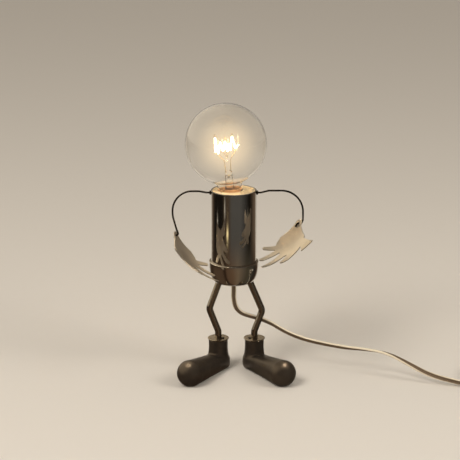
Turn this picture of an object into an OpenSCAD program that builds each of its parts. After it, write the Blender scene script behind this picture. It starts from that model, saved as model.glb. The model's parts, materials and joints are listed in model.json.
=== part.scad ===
// Desk lamp in the shape of a little robot: a clear globe bulb is the head, a chromed
// tube the body, bent wires the arms, bent rods the legs and two cast shoes the feet.
// Millimetres, +Z up, +X to the right of someone who faces the lamp, -Y towards them.

/* [Torso] */
// Outer diameter of the body tube
tube_d = 53; // [46:0.5:66]
// Wall of the body tube
tube_wall = 1.5; // [1:0.1:2.2]
// Length of the body tube
tube_len = 96.5; // [80:0.5:120]
// Height of the cup's underside above the bench
hip_z = 109.5; // [92:0.5:132]
// Height of the bottom cup
cup_h = 25.5; // [21:0.5:31]
// How deep the tube sits in the cup
seat_depth = 11; // [8:0.5:13]
// Wall of the cup beside the tube
cup_wall = 2.45; // [1.5:0.05:4]
// Floor thickness of the cup
cup_floor = 11; // [7:0.5:13]
// How far the cup draws in from its widest turn to its flat underside
cup_draw = 9; // [6:0.5:10]
// Thickness of the top plate
plate_t = 0.8; // [0.6:0.1:1.2]
// Skirt depth of the top plate
plate_skirt = 3; // [2:0.5:5]
// Depth of the top plate below the tube's rim
plate_recess = 0.3; // [0:0.1:1]

/* [Shoulders and arms] */
// Diameter of the arm wire
wire_d = 2.2; // [1.8:0.1:2.6]
// Depth of the shoulder holes below the tube's rim
shoulder_drop = 3.4; // [3.2:0.1:8]
// Left arm: bend radius at its top
left_bend = 23; // [18:0.5:23.5]
// Left arm: how far its outer run stands off the tube
left_out = 44.7; // [42:0.1:52]
// Left arm: rise of the wire from the shoulder hole to its top
left_rise = 1.6; // [1:0.1:4]
// Left arm: height of the lower bend below the shoulder
left_low = 27; // [26.5:0.5:32]
// Left arm: how far the hand's pin stands off the tube
left_pin_out = 40.5; // [34:0.5:48]
// Left arm: the pin's distance forwards
left_pin_fore = 14.2; // [11:0.1:18]
// Left arm: the pin's depth below the shoulder
left_pin_drop = 47.7; // [46:0.1:58]
// Right arm: bend radius at its top
right_bend = 25; // [18:0.5:25.5]
// Right arm: how far its outer run stands off the tube
right_out = 54; // [50:0.5:62]
// Right arm: rise of the wire from the shoulder hole to its top
right_rise = 2.3; // [1:0.1:4]
// Right arm: height of the lower bend below the shoulder
right_low = 26.7; // [26.5:0.1:30]
// Right arm: how far the hand's pin stands off the tube
right_pin_out = 48.6; // [42:0.1:56]
// Right arm: the pin's distance forwards
right_pin_fore = 15.5; // [13:0.1:18]
// Right arm: the pin's depth below the shoulder
right_pin_drop = 33; // [31:0.1:36]
// Turn of the left hand about X, Y and Z
left_turn = [-41.5, -13.4, -109]; // [-180:0.1:180]
// Turn of the right hand about X, Y and Z
right_turn = [-33.3, 3.8, 126]; // [-180:0.1:180]

/* [Hands] */
// Thickness of the hand sheet
sheet_t = 1; // [0.8:0.1:1.2]
// Radius to which the hand is dished
dish_r = 86; // [60:1:120]
// Radius of the rounded wrist end
wrist_r = 4.5; // [4:0.1:6]

/* [Legs] */
// Diameter of the leg rod
rod_d = 8; // [6.5:0.1:9.6]
// Bend radius of the leg rods
leg_bend = 9; // [8:0.5:12]
// How far behind the middle the legs stand
leg_back = 5; // [2:0.5:8]
// Left leg: sideways place of the hip
left_hip = 17.5; // [15:0.1:18]
// Left leg: sideways place of the knee
left_knee = 29; // [24:0.1:36]
// Left leg: height of the knee
left_knee_z = 74; // [62:0.5:82]
// Left leg: sideways place of the ankle
left_ankle = 18.3; // [15.5:0.1:24]
// Right leg: sideways place of the hip
right_hip = 19.5; // [15:0.1:19.5]
// Right leg: sideways place of the knee
right_knee = 33.8; // [28:0.1:41]
// Right leg: height of the knee
right_knee_z = 72; // [60:0.5:82]
// Right leg: sideways place of the ankle
right_ankle = 24.5; // [20:0.1:30]
// Height of the bend above the ankles
ankle_z = 46; // [44:0.5:50]

/* [Shoes] */
// Radius of the round toe
toe_r = 15.7; // [13:0.1:19]
// Height of the toe's middle, where the sole cuts it flat
toe_z = 14.5; // [12:0.1:17]
// Length from the cuff's middle to the toe's middle
foot_len = 67; // [55:1:81]
// How far each shoe turns outwards
splay = 28.6; // [10:0.1:40]
// Radius of the heel
heel_r = 14; // [13:0.1:17]
// Height of the heel block
heel_h = 18; // [15:0.5:22]
// Radius of the cuff at its top
cuff_r = 11.3; // [9.5:0.1:12.4]
// Height of the cuff
cuff_h = 36.7; // [31:0.1:38]
// Radius of the disc on the cuff
disc_r = 12.6; // [11:0.1:15]
// Thickness of the disc on the cuff
disc_t = 1.3; // [1:0.1:2]

/* [Head] */
// Lean of the head to the left
head_lean = 5; // [0:0.5:5.5]
// Height of the stem's bend below the tube's rim
stem_bend_drop = 50.5; // [50:0.1:52]
// Outer diameter of the stem tube
stem_d = 10; // [8:0.1:11]
// Bore of the stem tube
stem_bore = 7; // [6.4:0.1:7.4]
// Outer diameter of the lampholder
holder_d = 34; // [33:0.1:36]
// Diameter of the glass globe
globe_d = 95; // [80:1:114]
// Radius of the glass neck above the cap
neck_r = 14.5; // [14:0.1:16]
// Wall of the glass
glass_t = 1; // [0.8:0.1:1.2]
// Radius of the cap's thread over its crests
cap_r = 13.1; // [13:0.05:13.2]

/* [Cord and plug] */
// Width of the two-core flex
flex_w = 6; // [5:0.1:6.4]
// Mean radius of the coil
coil_r = 36; // [33:0.5:40]
// Length of the plug's pins
pin_len = 19; // [18:0.1:19]
// Distance between the plug's pins
pin_gap = 18.6; // [17.5:0.1:19]

/* [Hidden] */
$fn = 48;

// Where the body's axis stands in the part's frame
axis_xy = [-8, 14, 0];
// Clearances: sliding fit, turning fit, gap between pieces that never touch
fit = 0.05;
turn_fit = 0.05;
air = 0.3;

// Degrees between the rings of a bend, how far a swept rod's side lies under its round ends', and
// the radius of one core of the flex
bend_step = 9;
inset = 0.03;
core_r = 1.2;

tube_r = tube_d / 2;
tube_in = tube_r - tube_wall;
tube_z = hip_z + cup_h - seat_depth;
rim_z = tube_z + tube_len;
cup_r = tube_r + fit + cup_wall;
cup_flat = cup_r - cup_draw;
cup_turn_h = cup_h - 4;
cup_in = tube_in - 1;
shoulder_z = rim_z - shoulder_drop;
wire_r = wire_d / 2;
rod_r = rod_d / 2;
stem_r = stem_d / 2;
stem_top_r = stem_r - 0.4;
bend_z = rim_z - stem_bend_drop;
nut_t = 3;
stem_z = hip_z - nut_t;
holder_r = holder_d / 2;
globe_r = globe_d / 2;

// Heights along the head's leaning axis, counted from the stem's bend
base_s = 3;
block_s = 15;
shell_s = 20;
socket_s = 22.5;
tip_s = 26;
holder_top_s = 48;
skirt_s = 53;
globe_s = 57.5 + globe_r;
pitch = 3.6;

// ---- Helpers ----

function unit(v) = v / norm(v);
function side_of(u) = abs(u.z) < 0.9 ? unit(cross(u, [0, 0, 1])) : unit(cross(u, [1, 0, 0]));
function turn_at(p, i) = acos(unit(p[i] - p[i - 1]) * unit(p[i + 1] - p[i]));
function trim_at(p, br, i) = br[i] * tan(turn_at(p, i) / 2);
function turned(a) =
    let(ca = cos(a.x), sa = sin(a.x), cb = cos(a.y), sb = sin(a.y), cc = cos(a.z), sc = sin(a.z))
    [[cc * cb, cc * sb * sa - sc * ca, cc * sb * ca + sc * sa],
     [sc * cb, sc * sb * sa + cc * ca, sc * sb * ca - cc * sa],
     [-sb, cb * sa, cb * ca]];

module in_part() translate(axis_xy) children();

module on_axes(x, y, z, p)
    multmatrix([[x.x, y.x, z.x, p.x], [x.y, y.y, z.y, p.y], [x.z, y.z, z.z, p.z], [0, 0, 0, 1]])
    children();

// Puts its children with their Z axis along u
module along(u, p) on_axes(side_of(u), cross(u, side_of(u)), u, p) children();

// Points along the corners p, each inner corner rounded to the radius br[i]
function round_path(p, br) = concat([p[0]],
    [for (i = [1 : len(p) - 2])
        let(u = unit(p[i] - p[i - 1]), v = unit(p[i + 1] - p[i]),
            e = unit(v - u * (u * v)) * br[i], c = p[i] - u * trim_at(p, br, i) + e,
            n = max(2, ceil(turn_at(p, i) / bend_step)))
        for (k = [0 : n]) let(f = turn_at(p, i) * k / n)
            c - e * cos(f) + u * br[i] * sin(f)],
    [p[len(p) - 1]]);

// Tube of n sides swept along the points p
module sweep(p, r, n) {
    k = len(p);
    rings = [for (i = [0 : k - 1])
        let(t = unit(p[min(i + 1, k - 1)] - p[max(i - 1, 0)]),
            x = unit(cross(t, abs(t.y) > 0.97 ? [0, 0, 1] : [0, 1, 0])), y = cross(t, x))
        for (j = [0 : n - 1]) p[i] + r * (cos(j * 360 / n) * x + sin(j * 360 / n) * y)];
    sides = [for (i = [0 : k - 2], j = [0 : n - 1])
        [i * n + j, (i + 1) * n + j, (i + 1) * n + (j + 1) % n, i * n + (j + 1) % n]];
    polyhedron(rings, concat([[for (j = [0 : n - 1]) j]],
        [[for (j = [n - 1 : -1 : 0]) (k - 1) * n + j]], sides));
}

// A point of the head's leaning frame, which has its origin at the stem's bend
function lean(p) = [p.x * cos(head_lean) - p.z * sin(head_lean), p.y,
    bend_z + p.x * sin(head_lean) + p.z * cos(head_lean)];

module in_head() translate([0, 0, bend_z]) rotate([0, -head_lean, 0]) children();

module ring(r_out, r_in, h) difference() {
    cylinder(r = r_out, h = h);
    translate([0, 0, -1]) cylinder(r = r_in, h = h + 2);
}

// ---- Shoes ----

// A shoe with its cuff's axis on Z and its toe towards -Y
module shoe() color([0.30, 0.29, 0.27]) difference() {
    union() {
        hull() {
            intersection() {
                translate([0, -foot_len, toe_z]) sphere(r = toe_r, $fn = 40);
                translate([-30, -foot_len - 30, 0]) cube([60, 60, 60]);
            }
            cylinder(r = heel_r - 2, h = heel_h, $fn = 32);
            translate([0, 0, 3]) cylinder(r = heel_r, h = heel_h - 8, $fn = 32);
        }
        rotate_extrude() polygon([
            [0, heel_h / 2], [cuff_r + 1.4, heel_h / 2], [cuff_r + 0.9, heel_h + 3],
            [cuff_r, cuff_h - 6], [cuff_r, cuff_h], [0, cuff_h]
        ]);
    }
    translate([0, 0, 12]) cylinder(r = rod_r + fit, h = cuff_h);
    translate([0, 0, cuff_h - 8]) translate([screw_in(), 0, 0]) cylinder(r = 1, h = 20);
}

function screw_in() = (rod_r + disc_r) / 2 - 2;

module place_shoe(s, ankle)
    in_part() translate([s * ankle, leg_back, 0]) rotate([0, 0, s * splay])
    mirror([s > 0 ? 1 : 0, 0, 0]) children();

module cuff_disc() color([0.45, 0.43, 0.40]) difference() {
    translate([0, 0, cuff_h]) cylinder(r = disc_r, h = disc_t);
    translate([0, 0, cuff_h - 1]) cylinder(r = rod_r + fit, h = 5);
    translate([screw_in(), 0, cuff_h - 1]) cylinder(r = 1.1, h = 5);
}

module cuff_screw() color([0.2, 0.19, 0.18]) translate([screw_in(), 0, 0]) {
    translate([0, 0, cuff_h - 7]) cylinder(r = 0.95, h = 7 + disc_t);
    difference() {
        translate([0, 0, cuff_h + disc_t]) cylinder(r = 1.7, h = 0.9);
        translate([-2, -0.25, cuff_h + disc_t + 0.4]) cube([4, 0.5, 1]);
    }
}

module left_shoe() place_shoe(-1, left_ankle) shoe();
module right_shoe() place_shoe(1, right_ankle) shoe();
module left_cuff_disc() place_shoe(-1, left_ankle) cuff_disc();
module right_cuff_disc() place_shoe(1, right_ankle) cuff_disc();
module cuff_screws() {
    place_shoe(-1, left_ankle) cuff_screw();
    place_shoe(1, right_ankle) cuff_screw();
}

// ---- Legs ----

module leg(s, hip, knee, knee_z, ankle) color([0.62, 0.60, 0.57]) in_part() {
    x = [s * hip, leg_back, 0];
    f = [s * ankle, leg_back, 0];
    translate(x + [0, 0, hip_z - 1]) cylinder(r = rod_r, h = cup_floor - 1);
    sweep(round_path(
        [x + [0, 0, hip_z + 4], x + [0, 0, hip_z - 3], [s * knee, leg_back, knee_z],
         f + [0, 0, ankle_z], f + [0, 0, 20]],
        [0, leg_bend - 2, leg_bend, leg_bend, 0]), rod_r - inset, 24);
    translate(f + [0, 0, 13]) cylinder(r = rod_r, h = cuff_h + disc_t - 12);
}

module left_leg() leg(-1, left_hip, left_knee, left_knee_z, left_ankle);
module right_leg() leg(1, right_hip, right_knee, right_knee_z, right_ankle);

// ---- Torso ----

module bottom_cup() color([0.72, 0.71, 0.69]) in_part() difference() {
    rotate_extrude() polygon(concat(
        [[0, hip_z]],
        [for (t = [0 : 10 : 90])
            [cup_flat + cup_draw * sin(t), hip_z + cup_turn_h * (1 - cos(t))]],
        [[cup_r, hip_z + cup_h - 0.6], [cup_r - 0.6, hip_z + cup_h],
         [tube_r + fit + 0.5, hip_z + cup_h], [tube_r + fit, hip_z + cup_h - 0.5],
         [tube_r + fit, tube_z], [cup_in, tube_z], [cup_in, hip_z + cup_floor + 1],
         [cup_in - 1, hip_z + cup_floor], [0, hip_z + cup_floor]]
    ));
    translate([0, 0, hip_z - 1]) cylinder(r = stem_r + fit, h = cup_floor + 2);
    for (x = [-left_hip, right_hip])
        translate([x, leg_back, hip_z - 4]) cylinder(r = rod_r + fit, h = cup_floor + 2);
}

module torso_tube() color([0.78, 0.78, 0.77]) in_part() difference() {
    rotate_extrude() polygon([
        [tube_in, tube_z], [tube_r, tube_z], [tube_r, rim_z - 0.3],
        [tube_r - 0.3, rim_z], [tube_in, rim_z]
    ]);
    translate([-tube_r - 5, 0, shoulder_z]) rotate([0, 90, 0])
        cylinder(r = eyelet_r() + fit, h = tube_d + 10);
}

// Lid with a hole round the bulb's leaning cap and two notches for the arm wires
module top_plate() color([0.95, 0.90, 0.78]) in_part() {
    top = rim_z - plate_recess;
    s = (top - bend_z) / cos(head_lean);
    difference() {
        union() {
            translate([0, 0, top - plate_t]) cylinder(r = tube_in - fit, h = plate_t);
            translate([0, 0, top - plate_t - plate_skirt])
                ring(tube_in - fit, tube_in - fit - 0.8, plate_skirt + 0.1);
        }
        translate([-s * sin(head_lean), 0, top - 10]) cylinder(r = cap_r + 1.6, h = 20);
        translate([-tube_r - 2, -4, top - plate_t - 10]) cube([tube_d + 4, 8, 10]);
    }
}

// ---- Stem ----

module stem_tube() color([0.75, 0.70, 0.55]) in_part() difference() {
    union() {
        translate([0, 0, stem_z]) cylinder(r = stem_r, h = bend_z + 1 - stem_z);
        in_head() translate([0, 0, -0.5]) cylinder(r = stem_top_r, h = 7);
    }
    translate([0, 0, stem_z - 1]) cylinder(r = stem_bore / 2, h = bend_z + 1.5 - stem_z);
    in_head() translate([0, 0, -1]) cylinder(r = stem_bore / 2 - 0.2, h = 10);
}

module hex_nut(af, r, h) difference() {
    intersection() {
        cylinder(r = af / 2 / cos(30), h = h, $fn = 6);
        rotate_extrude() polygon([[0, 0], [af / 2, 0], [af / 2 / cos(30), h / 4],
            [af / 2 / cos(30), h * 3 / 4], [af / 2, h], [0, h]]);
    }
    translate([0, 0, -1]) cylinder(r = r, h = h + 2);
}

// Nut below the cup's floor, washer and nut above it
module stem_nuts() color([0.70, 0.62, 0.40]) in_part() {
    translate([0, 0, hip_z - nut_t]) hex_nut(stem_d + 4, stem_r + fit, nut_t);
    translate([0, 0, hip_z + cup_floor]) ring(stem_r + 4, stem_r + fit, 1);
    translate([0, 0, hip_z + cup_floor + 1]) hex_nut(stem_d + 4, stem_r + fit, nut_t);
}

// Insulating bush in the stem's mouth, which the flex comes out of
module cord_bushing() color([0.93, 0.92, 0.88]) in_part() rotate_extrude() polygon([
    [flex_w / 2 + 0.1, stem_z - 1.2], [stem_r, stem_z - 1.2], [stem_r + 0.4, stem_z - 0.8],
    [stem_r + 0.4, stem_z], [stem_bore / 2 - fit, stem_z], [stem_bore / 2 - fit, stem_z + 8],
    [flex_w / 2 + 0.1, stem_z + 8]
]);

// The flex's two cores, from the bush up to the terminals
module inner_flex() color([0.85, 0.80, 0.65]) in_part()
    for (s = [-1, 1]) {
        sweep(round_path(
            [[0, s * 1.4, stem_z - 0.2], [0, s * 1.4, bend_z], lean([0, s * 1.4, block_s - 4.5]),
             lean([0, s * 8, block_s - 2.9]), lean([0, s * 8, block_s - 1.5])],
            [0, 20, 2, 1.5, 0]), core_r, 8);
    }

// ---- Lampholder ----

module holder_base() color([0.16, 0.15, 0.14]) in_part() in_head() rotate_extrude() polygon([
    [stem_top_r + fit, base_s], [stem_r + 2.5, base_s], [stem_r + 2.5, base_s + 4],
    [holder_r - 2.5, block_s - 3], [holder_r, block_s], [holder_r, shell_s],
    [holder_r - 1.5, shell_s], [holder_r - 1.5, shell_s + 4], [holder_r - 2.4, shell_s + 4],
    [holder_r - 2.4, block_s], [holder_r - 4.5, block_s], [holder_r - 4.5, block_s - 1.5],
    [stem_r + 1, base_s + 5], [stem_top_r + fit, base_s + 5]
]);

module holder_shell() color([0.16, 0.15, 0.14]) in_part() in_head() rotate_extrude() polygon([
    [holder_r - 1.4, shell_s], [holder_r, shell_s], [holder_r, holder_top_s - 1],
    [holder_r - 1, holder_top_s], [cap_r + 1.2, holder_top_s],
    [cap_r + 1.2, holder_top_s - 1.2], [holder_r - 1.4, holder_top_s - 1.2]
]);

module contact_block() color([0.92, 0.91, 0.88]) in_part() in_head() difference() {
    translate([0, 0, block_s]) cylinder(r = holder_r - 2.5, h = socket_s - block_s);
    for (s = [-1, 1])
        translate([0, s * 8, block_s - 1]) cylinder(r = 1.5, h = 6);
    translate([0, 0, socket_s - 2]) cylinder(r = 4, h = 5);
}

// Brass shell with rolled thread rings, which the cap screws into
function thread(r, s0, n, depth) = [for (i = [0 : n * 2])
    [r - (i % 2 == 0 ? 0 : depth), s0 + i * pitch / 2]];

module screw_shell() color([0.80, 0.65, 0.30]) in_part() in_head() rotate_extrude() polygon(concat(
    [[holder_r - 2.7, socket_s], [holder_r - 2.7, socket_s + 0.5], [cap_r + 0.9, socket_s + 0.5]],
    thread(cap_r + 0.9, thread_s, 4, 0.7),
    [[cap_r + 0.9, holder_top_s - 2], [cap_r + 0.5, holder_top_s - 2]],
    reverse(thread(cap_r + 0.5, thread_s, 4, 0.7)),
    [[cap_r + 0.5, socket_s + 0.5], [cap_r - 1, socket_s + 0.5], [cap_r - 1, socket_s]]
));

thread_s = 31;
function reverse(v) = [for (i = [len(v) - 1 : -1 : 0]) v[i]];

// Spring tongue under the bulb's contact
module centre_contact() color([0.85, 0.68, 0.32]) in_part() in_head() {
    translate([-9, -2.5, socket_s]) cube([5, 5, 0.5]);
    translate([-4.6, -2.5, socket_s]) cube([0.6, 5, 2.9]);
    translate([-4.6, -2.5, tip_s - air - 0.8]) cube([8.6, 5, 0.5]);
}

module terminal_screws() color([0.85, 0.68, 0.32]) in_part() in_head()
    for (s = [-1, 1]) translate([0, s * 8, 0]) {
        translate([0, 0, block_s - 1.5]) cylinder(r = 2.4, h = 1.5);
        translate([0, 0, block_s]) cylinder(r = 1.5 - fit, h = 4.5);
    }

// ---- Arms ----

function eyelet_r() = wire_r + turn_fit + 0.35;

// Rolled eyelet in a shoulder hole, seen from the tube's right side
module eyelet() color([0.35, 0.33, 0.30]) {
    inner = sqrt(tube_in * tube_in - pow(eyelet_r() + 0.5, 2));
    translate([0, 0, shoulder_z]) rotate([0, 90, 0]) rotate_extrude() polygon([
        [wire_r + turn_fit, inner - 0.6], [eyelet_r() + 0.5, inner - 0.6],
        [eyelet_r() + 0.5, inner], [eyelet_r(), inner], [eyelet_r(), tube_r],
        [eyelet_r() + 1, tube_r], [eyelet_r() + 1, tube_r + 1.2],
        [eyelet_r() + 0.4, tube_r + 1.8], [wire_r + turn_fit, tube_r + 1.8]
    ]);
}

module left_eyelet() in_part() mirror([1, 0, 0]) eyelet();
module right_eyelet() in_part() eyelet();

// The pin's place in the hand's own frame, the hand's axes and the pin's place in the lamp
pin_xy = [-10, -32];
pin_local = [pin_xy.x, pin_xy.y, dish_r - sqrt(dish_r * dish_r - pin_xy * pin_xy)];
palm_local = unit([0, 0, dish_r] - pin_local);
wrist_local = unit([0, -1, 0] - palm_local * (palm_local * [0, -1, 0]));
left_axes = turned(left_turn);
right_axes = turned(right_turn) * [[-1, 0, 0], [0, 1, 0], [0, 0, 1]];
left_pin = [-tube_r - left_pin_out, -left_pin_fore, shoulder_z - left_pin_drop];
right_pin = [tube_r + right_pin_out, -right_pin_fore, shoulder_z - right_pin_drop];

// Corners of an arm wire: through the shoulder, up a little, out, down, past the wrist,
// through its hole in the way given and back along the hand
function arm_path(s, out, rise, low, fore, pin, axes, way) =
    let(m = axes * palm_local * way, w = axes * wrist_local, top = shoulder_z + rise,
        a = pin - m * (sheet_t / 2 + 3), b = a + w * 6, t = pin + m * (sheet_t / 2 + 1.9))
    [[s * (tube_r + 3), 0, shoulder_z], [s * (tube_r + 5), 0, shoulder_z],
     [s * (tube_r + 14), 0, top], [s * (tube_r + out), 0, top],
     [s * (tube_r + out), -fore, shoulder_z - low], b, a, t, t - w * 5.5];

module arm_wire(s, path, bends, pin, axes, way) color([0.12, 0.11, 0.10]) in_part() {
    m = axes * palm_local * way;
    sweep(round_path(path, bends), wire_r - inset, 12);
    translate([s > 0 ? tube_in - 1.8 : -tube_r - 4, 0, shoulder_z]) rotate([0, 90, 0])
        cylinder(r = wire_r, h = tube_wall + 5.8);
    along(m, pin - m * (sheet_t / 2 + 1.1)) cylinder(r = wire_r, h = sheet_t + 1.3);
    translate([s > 0 ? tube_in - 1.9 : -tube_in + 1.1, 0, shoulder_z]) rotate([0, 90, 0])
        cylinder(r = wire_r + 0.6, h = 0.8);
}

left_path = arm_path(-1, left_out, left_rise, left_low, 3, left_pin, left_axes, -1);
right_path = arm_path(1, right_out, right_rise, right_low, 1, right_pin, right_axes, 1);

module left_arm_wire()
    arm_wire(-1, left_path, [0, 8, 9, left_bend, 12, 4, 2, 1.8, 0], left_pin, left_axes, -1);
module right_arm_wire()
    arm_wire(1, right_path, [0, 8, 9, right_bend, 5, 3.5, 2, 1.8, 0], right_pin, right_axes, 1);

// ---- Hands ----

// Tapered finger from a to b, with a round tip
module finger(a, b, wa, wb) {
    u = unit(b - a);
    v = [-u.y, u.x];
    polygon([a + v * wa / 2, a - v * wa / 2, b - v * wb / 2, b + v * wb / 2]);
    translate(b) circle(r = wb / 2);
}

module hand_outline() {
    polygon([[-12, 9.5], [-17, 6], [-21, 0], [-22.5, -9], [-18.5, -18], [-14.4, -31],
             [-5.7, -31], [3, -24], [11, -19.5], [13, -6], [14, 4], [8, 14.5], [-3.2, 12]]);
    translate(pin_xy) circle(r = wrist_r);
    finger([-12, 4], [-29, 15.2], 8, 5);
    finger([-9, 6], [-13, 31], 8.5, 5.5);
    finger([1.5, 8], [7.5, 42.5], 10, 6);
    finger([13, 2], [21, 25], 14, 9);
    polygon([[8, -17.5], [23.5, -14.5], [41.7, -10], [31.9, 4.7], [20, -3.3], [11, -2]]);
}

// Shallow dished sheet of small facets, wider than the hand
dish_nx = 10;
dish_ny = 12;
function dish_at(i, j, t) =
    let(x = -27 + 7.1 * i, y = -39 + 7.3 * j, c = [0, 0, dish_r],
        p = [x, y, dish_r - sqrt(dish_r * dish_r - x * x - y * y)])
    c + (p - c) * (dish_r + t) / dish_r;

module dish_sheet() {
    m = dish_ny + 1;
    low = [for (i = [0 : dish_nx], j = [0 : dish_ny]) dish_at(i, j, sheet_t / 2)];
    top = [for (i = [0 : dish_nx], j = [0 : dish_ny]) dish_at(i, j, -sheet_t / 2)];
    k = len(low);
    e = dish_nx * m;
    polyhedron(concat(low, top), concat(
        [for (i = [0 : dish_nx - 1], j = [0 : dish_ny - 1]) let(a = i * m + j) each
            [[a, a + m, a + 1], [a + m, a + m + 1, a + 1],
             [k + a, k + a + 1, k + a + m], [k + a + m, k + a + 1, k + a + m + 1]]],
        [for (j = [0 : dish_ny - 1]) each
            [[j + 1, k + j + 1, k + j], [j + 1, k + j, j],
             [e + j, k + e + j, k + e + j + 1], [e + j, k + e + j + 1, e + j + 1]]],
        [for (i = [0 : dish_nx - 1]) let(a = i * m, b = i * m + dish_ny) each
            [[a, k + a, k + a + m], [a, k + a + m, a + m],
             [b + m, k + b + m, k + b], [b + m, k + b, b]]]
    ));
}

// Blank cut to the hand's outline, dished, with the hole for the wire
module hand() color([0.80, 0.79, 0.76]) difference() {
    intersection() {
        translate([0, 0, -2]) linear_extrude(height = 32) hand_outline();
        dish_sheet();
    }
    along(palm_local, pin_local - palm_local * 4) cylinder(r = wire_r + turn_fit, h = 8);
}

module place_hand(pin, turn, flip)
    in_part() translate(pin) rotate(turn) mirror([flip, 0, 0]) translate(-pin_local) children();

module left_hand() place_hand(left_pin, left_turn, 0) hand();
module right_hand() place_hand(right_pin, right_turn, 1) hand();

// ---- Bulb ----

neck_fillet = 6;
fillet_x = neck_r + neck_fillet;
fillet_s = globe_s - sqrt(pow(globe_r + neck_fillet, 2) - fillet_x * fillet_x);
join_a = atan2(fillet_x, globe_s - fillet_s);

// Outline of the glass, t inside its outer face
function glass_side(t) = concat(
    [[cap_r - 0.9 - t, 47], [cap_r - 0.9 - t, skirt_s], [neck_r - t, skirt_s + 2.5]],
    [for (a = [0 : 1 : 5]) let(b = 180 - a / 5 * (90 - join_a))
        [fillet_x + (neck_fillet + t) * cos(b), fillet_s + (neck_fillet + t) * sin(b)]]);

module glass_body(t) {
    rotate_extrude() polygon(concat([[0, 47]], glass_side(t),
        [[0, fillet_s + (neck_fillet + t) * cos(join_a)]]));
    translate([0, 0, globe_s]) sphere(r = globe_r - t);
}

module glass_globe() color([0.95, 0.90, 0.80, 0.35]) in_part() in_head() difference() {
    glass_body(0);
    glass_body(glass_t);
}

module bulb_cap() color([0.83, 0.66, 0.38]) in_part() in_head() rotate_extrude() polygon(concat(
    [[cap_r - 0.2, skirt_s], [cap_r + 0.5, skirt_s - 0.3], [cap_r + 0.5, skirt_s - 3],
     [cap_r - 0.1, skirt_s - 4.5]],
    reverse(thread(cap_r, thread_s, 4, 0.7)),
    [[cap_r - 1.2, thread_s - 1], [9.5, tip_s + 2], [8.5, tip_s + 2]],
    [[cap_r - 1.9, thread_s - 0.6], [cap_r - 1.1, thread_s + 0.5]],
    [[cap_r - 1.1, skirt_s - 7], [cap_r - 0.85, skirt_s - 7], [cap_r - 0.85, skirt_s]]
));

module cap_insulator() color([0.10, 0.10, 0.12]) in_part() in_head() rotate_extrude() polygon([
    [3, tip_s + 0.8], [8.5, tip_s + 2], [8.5, tip_s + 3.2], [3, tip_s + 3.2]
]);

module cap_contact() color([0.75, 0.74, 0.72]) in_part() in_head() {
    translate([0, 0, tip_s + 0.5]) cylinder(r = 3, h = 3.2);
    translate([0, 0, tip_s]) cylinder(r1 = 4, r2 = 4.6, h = 0.8);
}

// Flared glass tube, pinched to a foot that carries the wires and a rod with its button
module glass_mount() color([0.9, 0.9, 0.88, 0.6]) in_part() in_head() difference() {
    union() {
        rotate_extrude() polygon([
            [1.6, 47], [cap_r - 2.0, 47], [cap_r - 2.0, 48], [6, 51], [4.6, 58], [4.2, 66],
            [1.6, 66]
        ]);
        translate([-4.2, -1.8, 64]) cube([8.4, 3.6, press_z - 64]);
        translate([0, 0, press_z]) cylinder(r = 1.4, h = button_z - press_z);
        translate([0, 0, button_z]) sphere(r = button_r);
    }
    for (i = [1, 9])
        lead_axis(i) translate([0, 0, -lead_in]) cylinder(r = lead_r + fit, h = lead_in + 2);
    for (i = [3, 5, 7])
        hook_axis(i) cylinder(r = hook_r + fit, h = button_r + 2);
}

press_z = 73;
button_z = 88;
button_r = 2.4;
lead_r = 0.35;
lead_in = 1.5;
hook_r = 0.25;
hook_in = 1;
filament_lo = 92;
filament_hi = 112;
filament_r = 11;
function filament_at(i) = [filament_r * cos(i * 36), filament_r * sin(i * 36),
    i % 2 == 0 ? filament_hi : filament_lo];

button = [0, 0, button_z];
function lead_foot(i) = i == 1 ? [3, 0.8, press_z] : [-3, -0.8, press_z];
module lead_axis(i) along(unit(filament_at(i) - lead_foot(i)), lead_foot(i)) children();
module hook_axis(i) along(unit(filament_at(i) - button), button) children();

// Two lead wires from the foot to the filament's ends, and supports from the button
module lead_wires() color([0.6, 0.55, 0.5]) in_part() in_head() {
    for (i = [1, 9])
        lead_axis(i) translate([0, 0, -lead_in])
            cylinder(r = lead_r, h = lead_in + norm(filament_at(i) - lead_foot(i)) - 0.5);
    for (i = [3, 5, 7])
        hook_axis(i) translate([0, 0, hook_in])
            cylinder(r = hook_r, h = norm(filament_at(i) - button) - hook_in - 0.5);
}

module filament() color([1.0, 0.85, 0.45]) in_part() in_head()
    for (i = [1 : 8]) {
        p = filament_at(i);
        q = filament_at(i + 1);
        along(unit(q - p), p) cylinder(r = 0.4, h = norm(q - p));
        translate(p) sphere(r = 0.5);
        translate(q) sphere(r = 0.5);
    }

// ---- Cord and plug ----

coil_at = [318, -32, 0];
coil_w = 18;
coil_hgt = 13;
tail_z = 6.5;
cord_pts = [
    [0, 0, 105.3], [0, 0, 98], [0, 0.5, 90], [1, 2, 82], [3.5, 4.5, 74.5], [9, 8, 68],
    [17, 11.5, 63.5], [26, 14, 60], [36, 14.5, 56.5], [46, 12.5, 52.5], [56, 9, 47.5],
    [66, 6, 43], [79, 4.5, 38], [92, 3, 34.5], [106, 0.5, 32], [120, -3.5, 30.5],
    [134, -9, 30], [148, -13, 30], [162, -17, 29.5], [175, -21.5, 28.5], [187, -27.5, 26],
    [199, -33, 21.5], [211, -40, 17], [223, -46, 12.5], [235, -51.5, 9.5], [248, -56.5, 7.5],
    [262, -61, 5.5], [276, -65, 4], [288, -67.8, 3.4], [300, -71, 3]
];
tail_x = coil_at.x + coil_r;
tail_pts = [[tail_x, -18, tail_z], [tail_x, -6, tail_z], [tail_x, 6, tail_z]];

module cord_run() color([0.80, 0.74, 0.62]) in_part() sweep(cord_pts, flex_w / 2 - 0.3, 8);
module cord_tail() color([0.80, 0.74, 0.62]) in_part() sweep(tail_pts, flex_w / 2 - 0.3, 8);

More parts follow.
